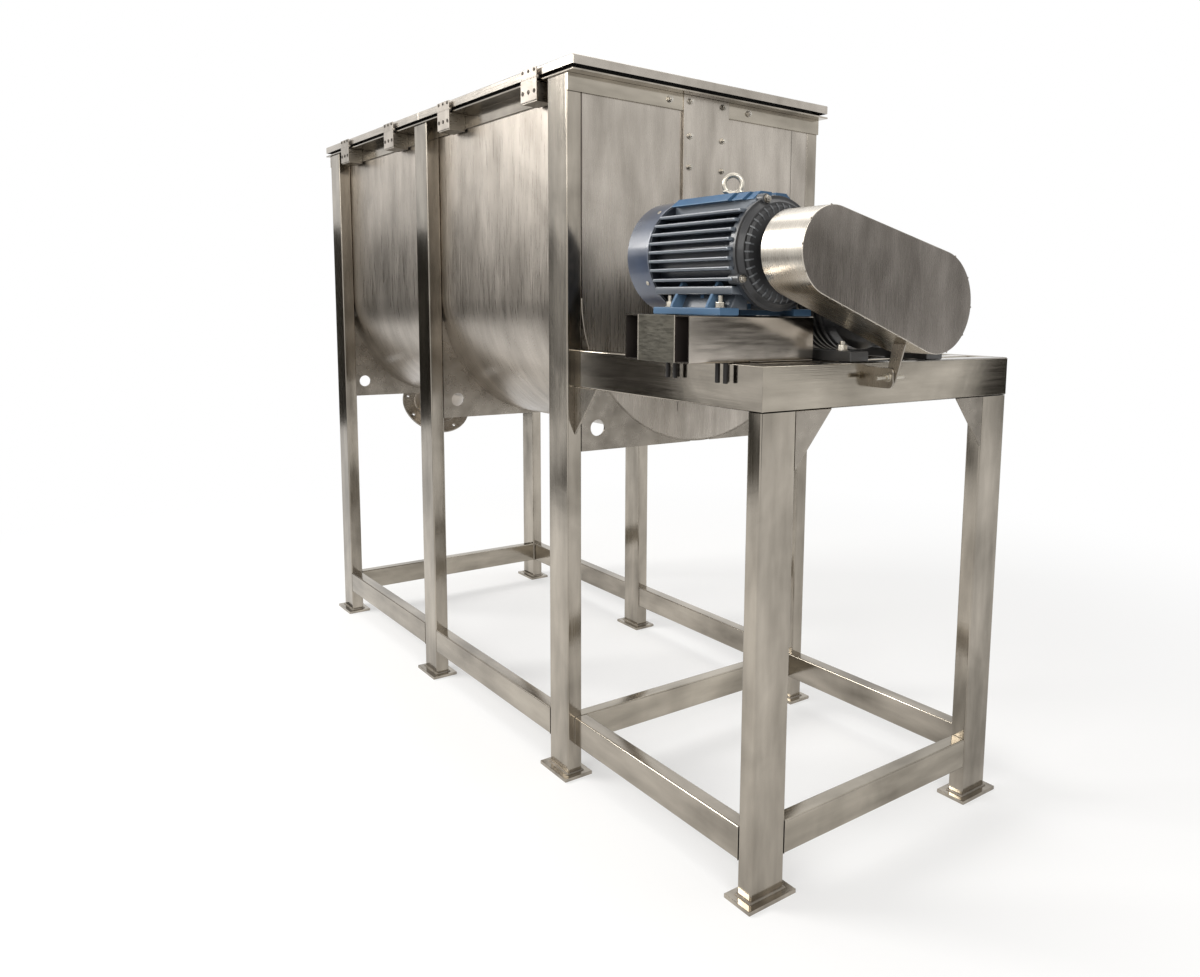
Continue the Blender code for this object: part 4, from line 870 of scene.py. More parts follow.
hinge_y, hinge_z = trough_middle_y - 0.4676, 1.9237
hinge_wide, knuckles, knuckle_gap, knuckle_radius, pin_radius = 0.088, 5, 0.0004, 0.005, 0.0034
knuckle_long = hinge_wide / knuckles
leaf_thick, fixed_leaf_top, lid_leaf_bottom = 0.003, rim_z + 0.0037, rim_z + 0.0057
hinge_steel = steel("hinge_steel", (0.33, 0.30, 0.265), 0.34, (20, 20, 20), 0.008, 0.24)
screw_dark = steel("hinge_screw_steel", (0.070, 0.060, 0.050), 0.42, (20, 20, 20), 0.01, 0.2)
bracket_steel = steel("bracket_steel", (0.36, 0.33, 0.285), 0.30, (3, 3, 20), 0.03, 0.22)
for number in (1, 2, 3, 4):
    low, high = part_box(f"hinge_bracket_{number}")
    lid_body = "rear_lid_body" if number < 3 else "front_lid_body"
    bracket = block((low.x + 0.004, low.y + leaf_thick, low.z),
                    (high.x - 0.004, high.y, rim_z - 0.0053))
    pick(bracket, lambda face: face.normal.y > 0.5, "FACE")
    bpy.ops.mesh.inset(thickness=0.003)
    bpy.ops.mesh.extrude_region_move(TRANSFORM_OT_translate={"value": (0, -0.040, 0)})
    done()
    soften(bracket, 0.0012)
    take(f"hinge_{number}_bracket", bracket_steel, stands_for=(f"hinge_bracket_{number}",))
    for part, body, leaf_low, leaf_high, first in (
            ("fixed", "frame", low.z + 0.004, fixed_leaf_top, 0),
            ("lid", lid_body, lid_leaf_bottom, lid_top - 0.0030, 1)):
        leaf = soften(block((low.x, low.y, leaf_low), (high.x, low.y + leaf_thick, leaf_high)),
                      0.0007, 1)
        rolls = [soften(drum(knuckle_radius,
                             (low.x + knuckle_long * place + knuckle_gap, hinge_y, hinge_z),
                             knuckle_long - 2 * knuckle_gap, 0, 24), 0.0006, 1)
                 for place in range(first, knuckles, 2)]
        hold(fuse([leaf] + rolls))
        take(f"hinge_{number}_{part}_leaf", hinge_steel, body)
    soften(drum(pin_radius, (low.x, hinge_y, hinge_z), hinge_wide, 0, 20), 0.001)
    take(f"hinge_{number}_pin", zinc_bolt)
    for part, body, radius, up in (("fixed", "frame", 0.0060, rim_z - 0.030),
                                   ("lid", lid_body, 0.0048, lid_top - 0.0095)):
        spots = [(Vector((low.x + hinge_wide * share, low.y, up)), (0, -1, 0), 0.9 + share * 3)
                 for share in (0.14, 0.5, 0.86)]
        set_out(slotted_head(radius, 0.0016, 0.0008, 2, 0.0008, 0.0006), spots,
                f"hinge_{number}_{part}_screws", screw_dark, body)

# Handles: pulls of round stainless bar, bent twice. Their ends are welded to the far skirt of each
# lid, where the lids are lifted from.
bar, bend = 0.006, 0.016
for name in ("rear", "front"):
    low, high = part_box(f"{name}_lid_handle")
    middle_z = (low.z + high.z) / 2
    straight_y = high.y - bar - bend
    deselect()
    bpy.ops.mesh.primitive_circle_add(vertices=20, radius=bar, rotation=(math.pi / 2, 0, 0),
                                      location=(low.x + bar, low.y, middle_z))
    pull = settle()
    pick(pull, anything)
    stretch_edges((0, straight_y - low.y, 0))
    bpy.ops.mesh.spin(steps=8, angle=math.pi / 2, axis=(0, 0, 1),
                      center=(low.x + bar + bend, straight_y, middle_z))
    stretch_edges((high.x - low.x - 2 * bar - 2 * bend, 0, 0))
    bpy.ops.mesh.spin(steps=8, angle=math.pi / 2, axis=(0, 0, 1),
                      center=(high.x - bar - bend, straight_y, middle_z))
    stretch_edges((0, low.y - straight_y, 0))
    mend(merge=0.00005, fill=True)
    smooth(pull)
    take(f"{name}_pull", cross_steel, f"{name}_lid_body", stands_for=(f"{name}_lid_handle",))


# Agitator: two pairs of ribbons, edge-wound flat bar of opposite hand, on round spokes through a
# stepped shaft. It is all welded and polished, and one coupling half is keyed on the drive end.
def turn_up(stations, start, axis=0, steps=64, ends="cap", edge=0.0008):
    """Turns a piece from stations of (distance along the axis, radius), with its rims broken."""
    deselect()
    way = Vector((0, 0, 0))
    way[axis] = 1
    place, radius = stations[0]
    bpy.ops.mesh.primitive_circle_add(vertices=steps, radius=radius, rotation=facing[axis],
                                      location=Vector(start) + way * place)
    piece = settle()
    pick(piece, anything)
    for next_place, next_radius in stations[1:]:
        stretch_edges(way * (next_place - place))
        if abs(next_radius - radius) > 1e-6:
            share = next_radius / radius
            bpy.ops.transform.resize(value=[1 if i == axis else share for i in range(3)],
                                     center_override=Vector(start) + way * next_place)
        place, radius = next_place, next_radius
    if ends == "join":
        bpy.ops.mesh.select_all(action="SELECT")
        bpy.ops.mesh.select_non_manifold(extend=False)
        bpy.ops.mesh.bridge_edge_loops()
    mend(fill=ends == "cap")
    if edge:
        soften(piece, edge, 2, sharper(0.45))
    return smooth(piece, 30)


def on_shaft(x, aside=0.0, up=0.0):
    """A point measured from the agitator's axis."""
    return Vector((x, trough_middle_y + aside, shaft_z + up))


def gather(pieces, name, material, body="frame", angle=35):
    """Joins pieces into one named piece with smooth rounds."""
    smooth(fuse(pieces), angle)
    return take(name, material, body)


mixer_steel = steel("mixer_steel", (0.52, 0.48, 0.43), 0.22, (4, 12, 12), 0.03, 0.18)
shaft_start = at(0, 0, shaft_z)
seal_in, journal, shaft_radius = 0.0283, 0.030, 0.040
hub_long = 0.060
hub_end = trough_long + 0.096 + hub_long
turn_up([(-0.105, journal), (seal_in, journal), (seal_in, shaft_radius),
         (trough_long - seal_in, shaft_radius), (trough_long - seal_in, journal),
         (hub_end - hub_long, journal)], shaft_start, edge=0.0015)
take("mixer_shaft_bar", mixer_steel, "agitator", stands_for=("main_shaft",))
outer_reach, inner_reach = 0.402, 0.250
outer_deep, inner_deep, ribbon_thick = 0.055, 0.045, 0.008
half_run, first_gap = 0.900, 0.00415
middle_x = trough_long / 2
spoke_radius, spoke_apart, collar_radius, collar_high = 0.020, 0.300, 0.0255, 0.004
spokes, welds = [], []
for station in range(-3, 4):
    tips = [inner_reach - inner_deep + 0.002, outer_reach - outer_deep + 0.002]
    low_tip, high_tip = tips if station % 2 == 0 else reversed(tips)
    spoke_x = middle_x + station * spoke_apart
    spokes.append(drum(spoke_radius, at(spoke_x, 0, shaft_z - low_tip), low_tip + high_tip, 2, 32))
    for collar_z in (shaft_z - shaft_radius - collar_high, shaft_z + shaft_radius):
        collar = drum(collar_radius, at(spoke_x, 0, collar_z), collar_high, 2, 32)
        welds.append(soften(collar, 0.0018))
gather(spokes, "mixer_spokes", mixer_steel, "agitator")
hold(fuse(welds))
take("mixer_spoke_welds", weld_steel, "agitator")
for half_name, half in (("rear", -1), ("front", 1)):
    for layer, reach, deep, hand, layer_turn in (
            ("outer", outer_reach, outer_deep, half, 0),
            ("inner", inner_reach, inner_deep, -half, math.pi)):
        deselect()
        bar_middle = (first_gap if half > 0 else -half_run, 0, reach - deep / 2)
        bpy.ops.mesh.primitive_plane_add(size=1, location=bar_middle, rotation=(math.pi / 2, 0, 0))
        band = settle()
        pick(band, anything, "FACE")
        bpy.ops.transform.resize(value=(ribbon_thick, 1, deep), center_override=bar_middle)
        bpy.ops.mesh.bevel(offset=0.0012, segments=2, affect="VERTICES")
        bpy.ops.mesh.select_all(action="SELECT")
        bpy.ops.mesh.delete(type="ONLY_FACE")
        done()
        finish(band, "SCREW", axis="X", angle=hand * 1.5 * math.tau,
               screw_offset=half_run - first_gap, steps=216, render_steps=216)
        pick(band, anything, "FACE")
        mend(fill=True)
        phase = (0 if half > 0 else math.pi * 3) + layer_turn
        band.data.transform(Matrix.Translation(at(middle_x, 0, shaft_z))
                            @ Matrix.Rotation(phase, 4, "X"))
        smooth(band, 40)
        take(f"{layer}_{half_name}_ribbon", mixer_steel, "agitator",
             stands_for=(f"{layer}_ribbon_{half_name}",))

# Coupling and bearings: cast iron, the coupling's halves pulled together by six bolts, and each
# bearing's square flange bolted to its strip with four, with a nipple for grease.
hidden_iron = cast("hidden_iron", (0.11, 0.105, 0.10), 0.55, 0.3, 60, 0.4, metal=0.8)
bearing_iron = cast("bearing_iron", (0.055, 0.065, 0.07), 0.45, 0.25, 60, 0.5, coat=0.2)
hub_radius, disc_radius, disc_thick = 0.050, 0.085, 0.022
turn_up([(hub_end - hub_long, hub_radius), (hub_end - disc_thick, hub_radius),
         (hub_end - disc_thick, disc_radius), (hub_end, disc_radius)], shaft_start, edge=0.002)
take("coupling_mixer_half", hidden_iron, "agitator")
shaft_low, shaft_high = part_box("output_shaft")
turn_up([(0, disc_radius), (disc_thick, disc_radius), (disc_thick, hub_radius),
         (hub_long, hub_radius), (hub_long, 0.027), (shaft_high.x - shaft_low.x, 0.027)],
        on_shaft(shaft_low.x), edge=0.002)
take("coupling_drive_half", hidden_iron, "agitator", stands_for=("output_shaft",))
set_out(hex_bolt(0.018, 0.009, 0.0105, 0.003),
        [(at(face, across, shaft_z + over), (out, 0, 0), number)
         for face, out in ((hub_end - disc_thick, -1), (hub_end + gap + disc_thick, 1))
         for across, over, number in on_circle(0.068, 6)], "coupling_bolts", zinc_bolt, "agitator")
bearing_bore, bearing_flange, bolt_aside = 0.0303, 0.020, 0.058
bearing_bolts = []
for name, out in (("rear", -1), ("front", 1)):
    low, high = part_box(f"{name}_bearing")
    face = high.x if out < 0 else low.x
    flange = block((face, low.y, low.z), (face + out * bearing_flange, high.y, high.z))
    soften(flange, 0.020, 5, runs_along(0))
    soften(flange, 0.0015)
    long = high.x - low.x
    hub = [(0.012, 0.070), (0.022, 0.063), (long - 0.004, 0.060), (long, 0.056), (long, 0.0395),
           (long - 0.006, 0.0390), (long - 0.006, bearing_bore), (0.002, bearing_bore)]
    barrel = turn_up([(out * place, radius) for place, radius in hub], on_shaft(face), ends="join")
    carve(flange, drum(bearing_bore, on_shaft(face - 0.05), 0.1))
    smooth(fuse([flange, barrel]))
    take(f"{name}_bearing_housing", bearing_iron, stands_for=(f"{name}_bearing",))
    turn_up([(0, 0.0045), (0.004, 0.0045), (0.005, 0.003), (0.010, 0.003), (0.011, 0.004),
             (0.013, 0.002)], on_shaft(face + out * 0.035, 0, 0.0615), 2, 20, edge=0)
    take(f"{name}_grease_nipple", zinc_bolt)
    bearing_bolts += [(on_shaft(face + out * bearing_flange, a * bolt_aside, b * bolt_aside),
                       (out, 0, 0), a + b) for a in (-1, 1) for b in (-1, 1)]
set_out(hex_bolt(0.021, 0.009, 0.012, 0.004), bearing_bolts, "bearing_bolts", zinc_bolt)

# Shaft seals: white plastic bushes, turned in one piece with a flange inside the trough. They sit
# in the end plates' holes, round the shaft's journals.
seal_white = cast("seal_white", (0.72, 0.71, 0.67), 0.45, 0.06, 30, 0.2)
seal_profile = [(-0.0143, bearing_bore), (-0.0143, 0.0578), (0.0003, 0.0578), (0.0003, 0.075),
                (0.0103, 0.075), (0.0103, bearing_bore)]
for name, face, out in (("rear", end_plate_thick, 1), ("front", trough_long - end_plate_thick, -1)):
    turn_up([(out * place, radius) for place, radius in seal_profile], at(face, 0, shaft_z),
            ends="join", edge=0.001)
    take(f"{name}_seal_bush", seal_white, stands_for=(f"{name}_shaft_seal",))

# Reducer: a black cast foot casing and input casing in line with the agitator, joined by a bolt
# ring, with cooling ribs and a breather. It stands on two long stepped feet.
reducer_black = cast("reducer_black", (0.020, 0.020, 0.021), 0.38, 0.3, 50, 0.6, coat=0.3,
                     edge=(0.07, 0.068, 0.065))
casing_low, casing_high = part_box("reducer_foot_casing")
input_low, input_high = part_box("reducer_input_casing")
foot_z = casing_low.z
casing_x, casing_long = front_x - 0.396, 0.150
rim_radius, rim_thick, joint_ring = 0.121, 0.020, 0.1195 * 0.97
turn_up([(0, 0.0273), (0, 0.066), (0.004, 0.070), (0.028, 0.072), (0.040, 0.090), (0.054, 0.112),
         (0.060, 0.116), (casing_long - rim_thick, 0.116), (casing_long - rim_thick, rim_radius),
         (casing_long - gap, rim_radius), (casing_long - gap, 0.0273)], on_shaft(casing_x),
        ends="join", edge=0.0015)
casing = bpy.context.object
pedestal = block((casing_x + 0.050, trough_middle_y - 0.1655, foot_z + 0.012),
                 (casing_x + 0.125, trough_middle_y + 0.1655, shaft_z - 0.050))
for sign in (-1, 1):
    slice_off(pedestal, (casing_x, trough_middle_y + sign * 0.155, foot_z + 0.030),
              (0, sign * 0.058, 0.060))
soften(pedestal, 0.004)
carve(pedestal, drum(0.060, (casing_x, trough_middle_y, foot_z), 0.2))
feet = []
for sign in (-1, 1):
    low_y, high_y = sorted((trough_middle_y + sign * 0.105, trough_middle_y + sign * 0.166))
    shoe = block((casing_low.x, low_y, foot_z), (casing_high.x, high_y, foot_z + 0.024))
    step = block((casing_x + 0.020, low_y + 0.004, foot_z + 0.022),
                 (casing_x + 0.210, high_y - 0.004, foot_z + 0.040))
    rib = block((casing_x + 0.082, low_y + 0.010, foot_z + 0.020),
                (casing_x + 0.094, high_y - 0.006, foot_z + 0.085))
    slice_off(rib, (casing_x, (high_y if sign > 0 else low_y) - sign * 0.010, foot_z + 0.030),
              (0, sign * 0.05, 0.035))
    feet += [soften(shoe, 0.003), soften(step, 0.004), soften(rib, 0.002)]
smooth(fuse([casing, pedestal] + feet))
take("reducer_foot_body", reducer_black, stands_for=("reducer_foot_casing",))
ring_long, ring_radius, input_bore = 0.095, 0.113, 0.0183
in_long = input_high.x - input_low.x
stations = [(0, input_bore), (0, rim_radius), (0.018, rim_radius), (0.018, ring_radius)]
for fin in range(3):
    start = 0.028 + fin * 0.018
    stations += [(start, ring_radius), (start + 0.001, 0.120), (start + 0.008, 0.120),
                 (start + 0.009, ring_radius)]
stations += [(ring_long - 0.008, ring_radius), (ring_long - 0.008, rim_radius),
             (ring_long, rim_radius), (ring_long, 0.116), (ring_long + 0.030, 0.114),
             (ring_long + 0.052, 0.095), (ring_long + 0.068, 0.070), (in_long - 0.006, 0.060),
             (in_long, 0.057), (in_long, input_bore)]
turn_up(stations, on_shaft(input_low.x), ends="join", edge=0.001)
take("reducer_input_body", reducer_black, stands_for=("reducer_input_casing",))
set_out(hex_bolt(0.0145, 0.007, 0.0090, 0.002),
        [(on_shaft(input_low.x - rim_thick, across, over), (-1, 0, 0), number)
         for across, over, number in on_circle(joint_ring, 8, 0.5)],
        "reducer_joint_bolts", zinc_bolt)
set_out(hex_bolt(0.024, 0.011, 0.014, 0.008, 0.0065),
        [((casing_x + place, trough_middle_y + sign * 0.140, foot_z + high), (0, 0, 1), place * 40)
         for sign in (-1, 1) for place, high in ((0.045, 0.040), (0.190, 0.040), (0.340, 0.024))],
        "reducer_foot_bolts", zinc_bolt)
turn_up([(0, 0.013), (0.012, 0.013), (0.014, 0.011), (0.022, 0.011), (0.024, 0.008)],
        on_shaft(casing_x + 0.100, 0, 0.112), 2, 24, edge=0.001)
take("reducer_breather", zinc_bolt)

# Belt drive: two cast iron pulleys with turned grooves and keyed hubs, one on the motor's shaft and
# one on the reducer's input shaft, and two rubber V-belts stretched round them.
pulley_iron = cast("pulley_iron", (0.16, 0.155, 0.15), 0.42, 0.25, 60, 0.4, metal=0.9)
belt_rubber = cast("belt_rubber", (0.022, 0.021, 0.020), 0.65, 0.3, 60, 0.6)
shaft_bright = steel("shaft_bright", (0.55, 0.53, 0.50), 0.18, (20, 3, 3), 0.03, 0.1)
groove_deep, wide_half, narrow_half, groove_aside = 0.010, 0.0068, 0.0043, 0.0095
motor_bore = 0.0193
for name, body, radius, bore in (("motor", "motor_rotor", 0.066, motor_bore),
                                 ("reducer", "gearbox_input", 0.090, input_bore)):
    low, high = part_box(f"{name}_pulley")
    long, middle = high.x - low.x, (low + high) / 2
    root = radius - groove_deep
    profile = [(0, bore), (0, radius)]
    for centre in (long / 2 - groove_aside, long / 2 + groove_aside):
        profile += [(centre - wide_half, radius), (centre - narrow_half, root),
                    (centre + narrow_half, root), (centre + wide_half, radius)]
    dish = root - 0.008
    profile += [(long, radius), (long, dish), (long - 0.012, dish - 0.002),
                (long - 0.012, bore + 0.014), (long, bore + 0.012), (long, bore)]
    turn_up(profile, (low.x, middle.y, middle.z), ends="join", edge=0.0004, steps=72)
    take(f"{name}_pulley_wheel", pulley_iron, body, stands_for=(f"{name}_pulley",))
bar_low, bar_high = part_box("reducer_input_shaft")
turn_up([(0, 0.018), (bar_high.x - bar_low.x, 0.018)], on_shaft(bar_low.x), edge=0.0012)
take("reducer_input_bar", shaft_bright, "gearbox_input", stands_for=("reducer_input_shaft",))


def wrap_round(motor_radius, reducer_radius, start_x, thick, steps=72):
    """The solid that a band stretched round both pulleys' axes would fill."""
    whole = fuse([drum(radius, (start_x, *spot), thick, 0, steps)
                  for spot, radius in ((motor_spot, motor_radius), (reducer_spot, reducer_radius))])
    pick(whole, anything, "FACE")
    bpy.ops.mesh.convex_hull(join_triangles=True)
    bpy.ops.mesh.select_all(action="SELECT")
    bpy.ops.mesh.dissolve_limited(angle_limit=math.radians(0.5))
    mend()
    return whole


pulley_low, pulley_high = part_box("motor_pulley")
motor_spot = ((pulley_low.y + pulley_high.y) / 2, (pulley_low.z + pulley_high.z) / 2)
reducer_spot = (trough_middle_y, shaft_z)
for name in ("rear", "front"):
    low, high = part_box(f"belt_{name}")
    band = wrap_round(0.067, 0.091, low.x, high.x - low.x)
    carve(band, wrap_round(0.0569, 0.0809, low.x - 0.01, 0.04))
    soften(band, 0.0006, 1)
    take(f"v_belt_{name}", belt_rubber, stands_for=(f"belt_{name}",))

# Guard: a cover folded from polished sheet and open to the back. Its edge is tack welded, ground
# and polished; a strap holds it to a lug on the table rail with one long bolt.
# The cover's wall and end face are one sheet in two copies of one steel: the wall is painted light
# as a painted highlight, and the end face is painted dark as painted shade.
guard_face_painted_shade = steel("guard_face_painted_shade", (0.30, 0.272, 0.244), 0.26, (3, 40, 1.2), 0.01, 0.24, 0.06)
guard_wall_painted_light = steel("guard_wall_painted_light", (0.60, 0.56, 0.50), 0.27, (40, 1, 1), 0.004, 0.12, 0.05)
guard_low, guard_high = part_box("belt_guard")
small_end, large_end, cover_sheet = 0.092, 0.116, 0.002
tack_in, tack_radius, tack_high = 0.0005, 0.0026, 0.0016
cover = wrap_round(small_end, large_end, guard_low.x, guard_high.x - guard_low.x, 96)
pick(cover, lambda face: face.normal.x < -0.9, "FACE")
bpy.ops.mesh.delete(type="ONLY_FACE")
done()
round_edges(cover, sharper(0.8), 0.0022, 3)
finish(cover, "SOLIDIFY", thickness=cover_sheet, offset=-1)
cover.data.materials.clear()
cover.data.materials.append(guard_wall_painted_light)
cover.data.materials.append(guard_face_painted_shade)
# the end faces take the dark copy with painted shade, and the walls keep the light copy with
# painted highlight
for face in cover.data.polygons:
    if abs(face.normal.x) > 0.95:
        face.material_index = 1
smooth(cover)
take("belt_guard_cover", None, stands_for=("belt_guard",))


def round_end(spot, radius, angle):
    return spot[0] + radius * math.cos(angle), spot[1] + radius * math.sin(angle)


run_y, run_z = reducer_spot[0] - motor_spot[0], reducer_spot[1] - motor_spot[1]
lean_angle = math.atan2(run_z, run_y)
wall_angle = lean_angle - math.acos((small_end - large_end) / math.hypot(run_y, run_z))
first = round_end(motor_spot, small_end - tack_in, wall_angle)
last = round_end(reducer_spot, large_end - tack_in, wall_angle)
tacks = []
for number in range(9):
    share = (number + 0.6) / 9.4
    tacks.append([a + (b - a) * share for a, b in zip(first, last)])
tacks += [round_end(motor_spot, small_end - tack_in, lean_angle + a) for a in (2.0, 2.7, 3.3, 3.9)]
tacks += [round_end(reducer_spot, large_end - tack_in, lean_angle + a)
          for a in (-1.0, -0.4, 0.2, 0.8, 1.4)]
dots = [round_edges(drum(tack_radius, (guard_high.x - tack_high, *spot), tack_high, 0, 12),
                    above(0, guard_high.x - 0.0002), 0.0012) for spot in tacks]
gather(dots, "guard_tack_welds", weld_steel, angle=60)

strap_y, strap_wide, strap_thick = trough_middle_y - 0.087, 0.0288, 0.004
strap_x, strap_bottom, strap_top = front_x + 0.027, rail_top - 0.053, shaft_z - 0.088
strap = block((strap_x, strap_y, strap_bottom),
              (strap_x + strap_wide, strap_y + strap_thick, strap_top))
pick(strap, above(2, strap_top - 0.001))
bpy.ops.transform.resize(value=(1.25, 1, 1), center_override=(strap_x, strap_y, strap_top))
bpy.ops.transform.translate(value=(0.022, 0, 0))
done()
round_edges(strap, lambda edge: runs_along(1)(edge) and below(2, strap_bottom + 0.001)(edge),
            0.0135, 8)
slice_off(strap, (0, *round_end(reducer_spot, large_end + gap, wall_angle)),
          (0, -math.cos(wall_angle), -math.sin(wall_angle)))
soften(strap, 0.0007, 1)
take("guard_strap_bar", plate_steel, stands_for=("guard_strap",))
bolt_x, bolt_z = strap_x + 0.0162, strap_bottom + 0.020
lug_y = strap_y - 0.0063
lug = block((front_x - 0.001, lug_y, strap_bottom - 0.005),
            (bolt_x + 0.014, lug_y + 0.006, bolt_z + 0.022))
round_edges(lug, lambda edge: runs_along(1)(edge) and edge.verts[0].co.x > bolt_x, 0.013, 8)
soften(lug, plate_edge, 1)
take("rail_lug_plate", plate_steel)
soften(drum(0.005, (bolt_x, strap_y - 0.046, bolt_z), 0.092, 1, 24), 0.001, 1)
take("strap_long_bolt", zinc_bolt)
set_out(hex_bolt(0.019, 0.008, 0.0105),
        [((bolt_x, lug_y, bolt_z), (0, -1, 0), 0.2),
         ((bolt_x, strap_y + strap_thick, bolt_z), (0, 1, 0), 0.5)], "strap_nuts", zinc_bolt)

# Motor base: two hollow tubes on edge with cut, filed rims, joined by a plate at the near end.
# The tubes' insides are painted near black, a painted shade of their hollows.
tube_inside_painted_shade = cast("tube_inside_painted_shade", (0.016, 0.010, 0.007), 0.75, 0.4)
base_steel = steel("base_steel", (0.52, 0.475, 0.42), 0.14, (26, 0.8, 8), 0.02, 0.32)
# The near plate is the tubes' stainless painted about a quarter as light, a painted shade on its
# near face.
base_plate_painted_shade_steel = steel("base_plate_painted_shade_steel", (0.125, 0.117, 0.096), 0.36, (3, 3, 20), 0.003, 0.08)
base_low, base_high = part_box("motor_base")
tube_thin, tube_wall = 0.050, 0.003
for name, start_x in (("rear", base_low.x), ("front", base_high.x - tube_thin)):
    tube = block((start_x, base_low.y, base_low.z),
                 (start_x + tube_thin, base_high.y, base_high.z))
    soften(tube, tube_corner, 3, runs_along(1))
    pick(tube, lambda face: abs(face.normal.y) > 0.9, "FACE")
    bpy.ops.mesh.inset(thickness=tube_wall)
    bpy.ops.mesh.delete(type="ONLY_FACE")
    done()
    pick(tube, lambda edge: len(edge.link_faces) == 1)
    bpy.ops.mesh.bridge_edge_loops()
    mend()
    tube.data.materials.append(base_steel)
    tube.data.materials.append(tube_inside_painted_shade)
    # the inner faces take the near-black painted shade
    inner_face = tube_wall * 0.9
    for face in tube.data.polygons:
        spot = face.center
        inside = (start_x + inner_face < spot.x < start_x + tube_thin - inner_face
                  and base_low.z + inner_face < spot.z < base_high.z - inner_face)
        face.material_index = 1 if inside and abs(face.normal.y) < 0.9 else 0
    smooth(tube)
    take(f"base_tube_{name}", None, stands_for=("motor_base",))
soften(block((base_low.x + tube_thin, base_low.y, base_low.z),
             (base_high.x - tube_thin, base_low.y + tube_wall, base_high.z)), plate_edge, 1)
take("base_near_plate", base_plate_painted_shade_steel)
for number, seam_x in enumerate((base_low.x + tube_thin, base_high.x - tube_thin), 1):
    soften(block((seam_x - seam_half, base_low.y - seam_proud, base_low.z),
                 (seam_x + seam_half, base_low.y + 0.001, base_high.z)), 0.0005, 1)
    take(f"base_plate_seam_{number}", weld_steel)


# Motor: a cast drum with level side fins and flat deck plates on top, in navy enamel. The end
# shields bolt on at lugs, and two foot bars with ribs stand on long studs.
def on_motor(x, aside=0.0, up=0.0):
    """A point measured from the motor's axis."""
    return Vector((x, motor_y + aside, motor_z + up))


def turn_round_motor(piece, angle):
    piece.data.transform(Matrix.Translation(on_motor(0)) @ Matrix.Rotation(angle, 4, "X")
                         @ Matrix.Translation(-on_motor(0)))
    return piece


# The enamels' lighter edge colours are partly wear and partly a painted highlight along the edges.
motor_navy = cast("motor_navy", (0.012, 0.015, 0.022), 0.36, 0.25, 45, 0.35, coat=0.2,
                  edge=(0.12, 0.14, 0.165))
deck_blue = cast("deck_blue", (0.010, 0.058, 0.135), 0.46, 0.22, 45, 0.3, coat=0.05,
                 edge=(0.12, 0.20, 0.30))
deck_blue.node_tree.nodes["Principled BSDF"].inputs["Specular IOR Level"].default_value = 0.2
bell_dark = cast("bell_dark", (0.016, 0.016, 0.017), 0.40, 0.3, 45, 0.4, coat=0.15,
                 edge=(0.09, 0.095, 0.10))
shield_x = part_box("motor_end_shield")[0].x
cover_low, cover_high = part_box("fan_cover")
motor_y = (cover_low.y + cover_high.y) / 2
motor_z = (cover_low.z + cover_high.z) / 2
core, fin_tip, fin_sunk, fin_half = 0.106, 0.132, 0.004, 0.0034
drum_start, drum_end = cover_low.x + 0.092 * 0.35, shield_x - gap
drum_long = drum_end - drum_start
rim_x = cover_high.x + 0.003
rim_in = rim_x - drum_start
turn_up([(0, motor_bore), (0, core), (rim_in - 0.012, core), (rim_in - 0.012, 0.1287),
         (rim_in, 0.1287), (rim_in, core), (drum_long - 0.014, core), (drum_long - 0.014, 0.120),
         (drum_long, 0.120), (drum_long, motor_bore)], on_motor(drum_start), ends="join",
        edge=0.001)
take("motor_drum", motor_navy, stands_for=("motor_frame",))
fin_start, fin_end = rim_x - 0.002, drum_end - 0.006


def across_drum(radius, offset):
    """How far a circle of that radius reaches at an offset from its middle."""
    return math.sqrt(radius ** 2 - offset ** 2)


fins = []
for up in (0.086, 0.066, 0.046, 0.026, 0.006, -0.014, -0.034, -0.056):
    for sign in (-1, 1):
        tip_y = motor_y + sign * (across_drum(fin_tip, up) - 0.001)
        fin = block((fin_start, motor_y + sign * (across_drum(core, up) - fin_sunk),
                     motor_z + up - fin_half), (fin_end, tip_y, motor_z + up + fin_half))
        round_edges(fin, lambda edge: runs_along(0)(edge)
                    and abs(edge.verts[0].co.y - tip_y) < 0.0005, 0.0020)
        round_edges(fin, lambda edge: runs_along(2)(edge)
                    and abs(edge.verts[0].co.y - tip_y) < 0.0005
                    and edge.verts[0].co.x > fin_end - 0.001, 0.006)
        fins.append(fin)
for aside in (-0.052, -0.026, 0.0, 0.026, 0.052):
    fin = block(on_motor(fin_start, aside - 0.003, across_drum(core, aside) - fin_sunk),
                on_motor(fin_end, aside + 0.003, across_drum(fin_tip, aside) - 0.007))
    fins.append(soften(fin, 0.0012, 1))
gather(fins, "motor_fins", motor_navy)
hold(fuse([soften(block(on_motor(fin_start, sign * 0.070, -0.088),
                        on_motor(fin_end - 0.004, sign * 0.112, -0.070)), 0.004)
           for sign in (-1, 1)]))
take("motor_low_bars", motor_navy)
decks = []
for sign in (-1, 1):
    for start, end, outer in ((fin_start + 0.010, fin_end - 0.070, 0.074),
                              (fin_end - 0.066, fin_end - 0.030, 0.066),
                              (fin_end - 0.027, fin_end - 0.004, 0.058)):
        deck = block(on_motor(start, sign * 0.006, 0.112), on_motor(end, sign * outer, 0.1305))
        slice_off(deck, on_motor(start, sign * outer, 0.1135), (0, sign * 0.62, 0.78))
        decks.append(soften(deck, 0.0022))
gather(decks, "motor_deck_plates", deck_blue)

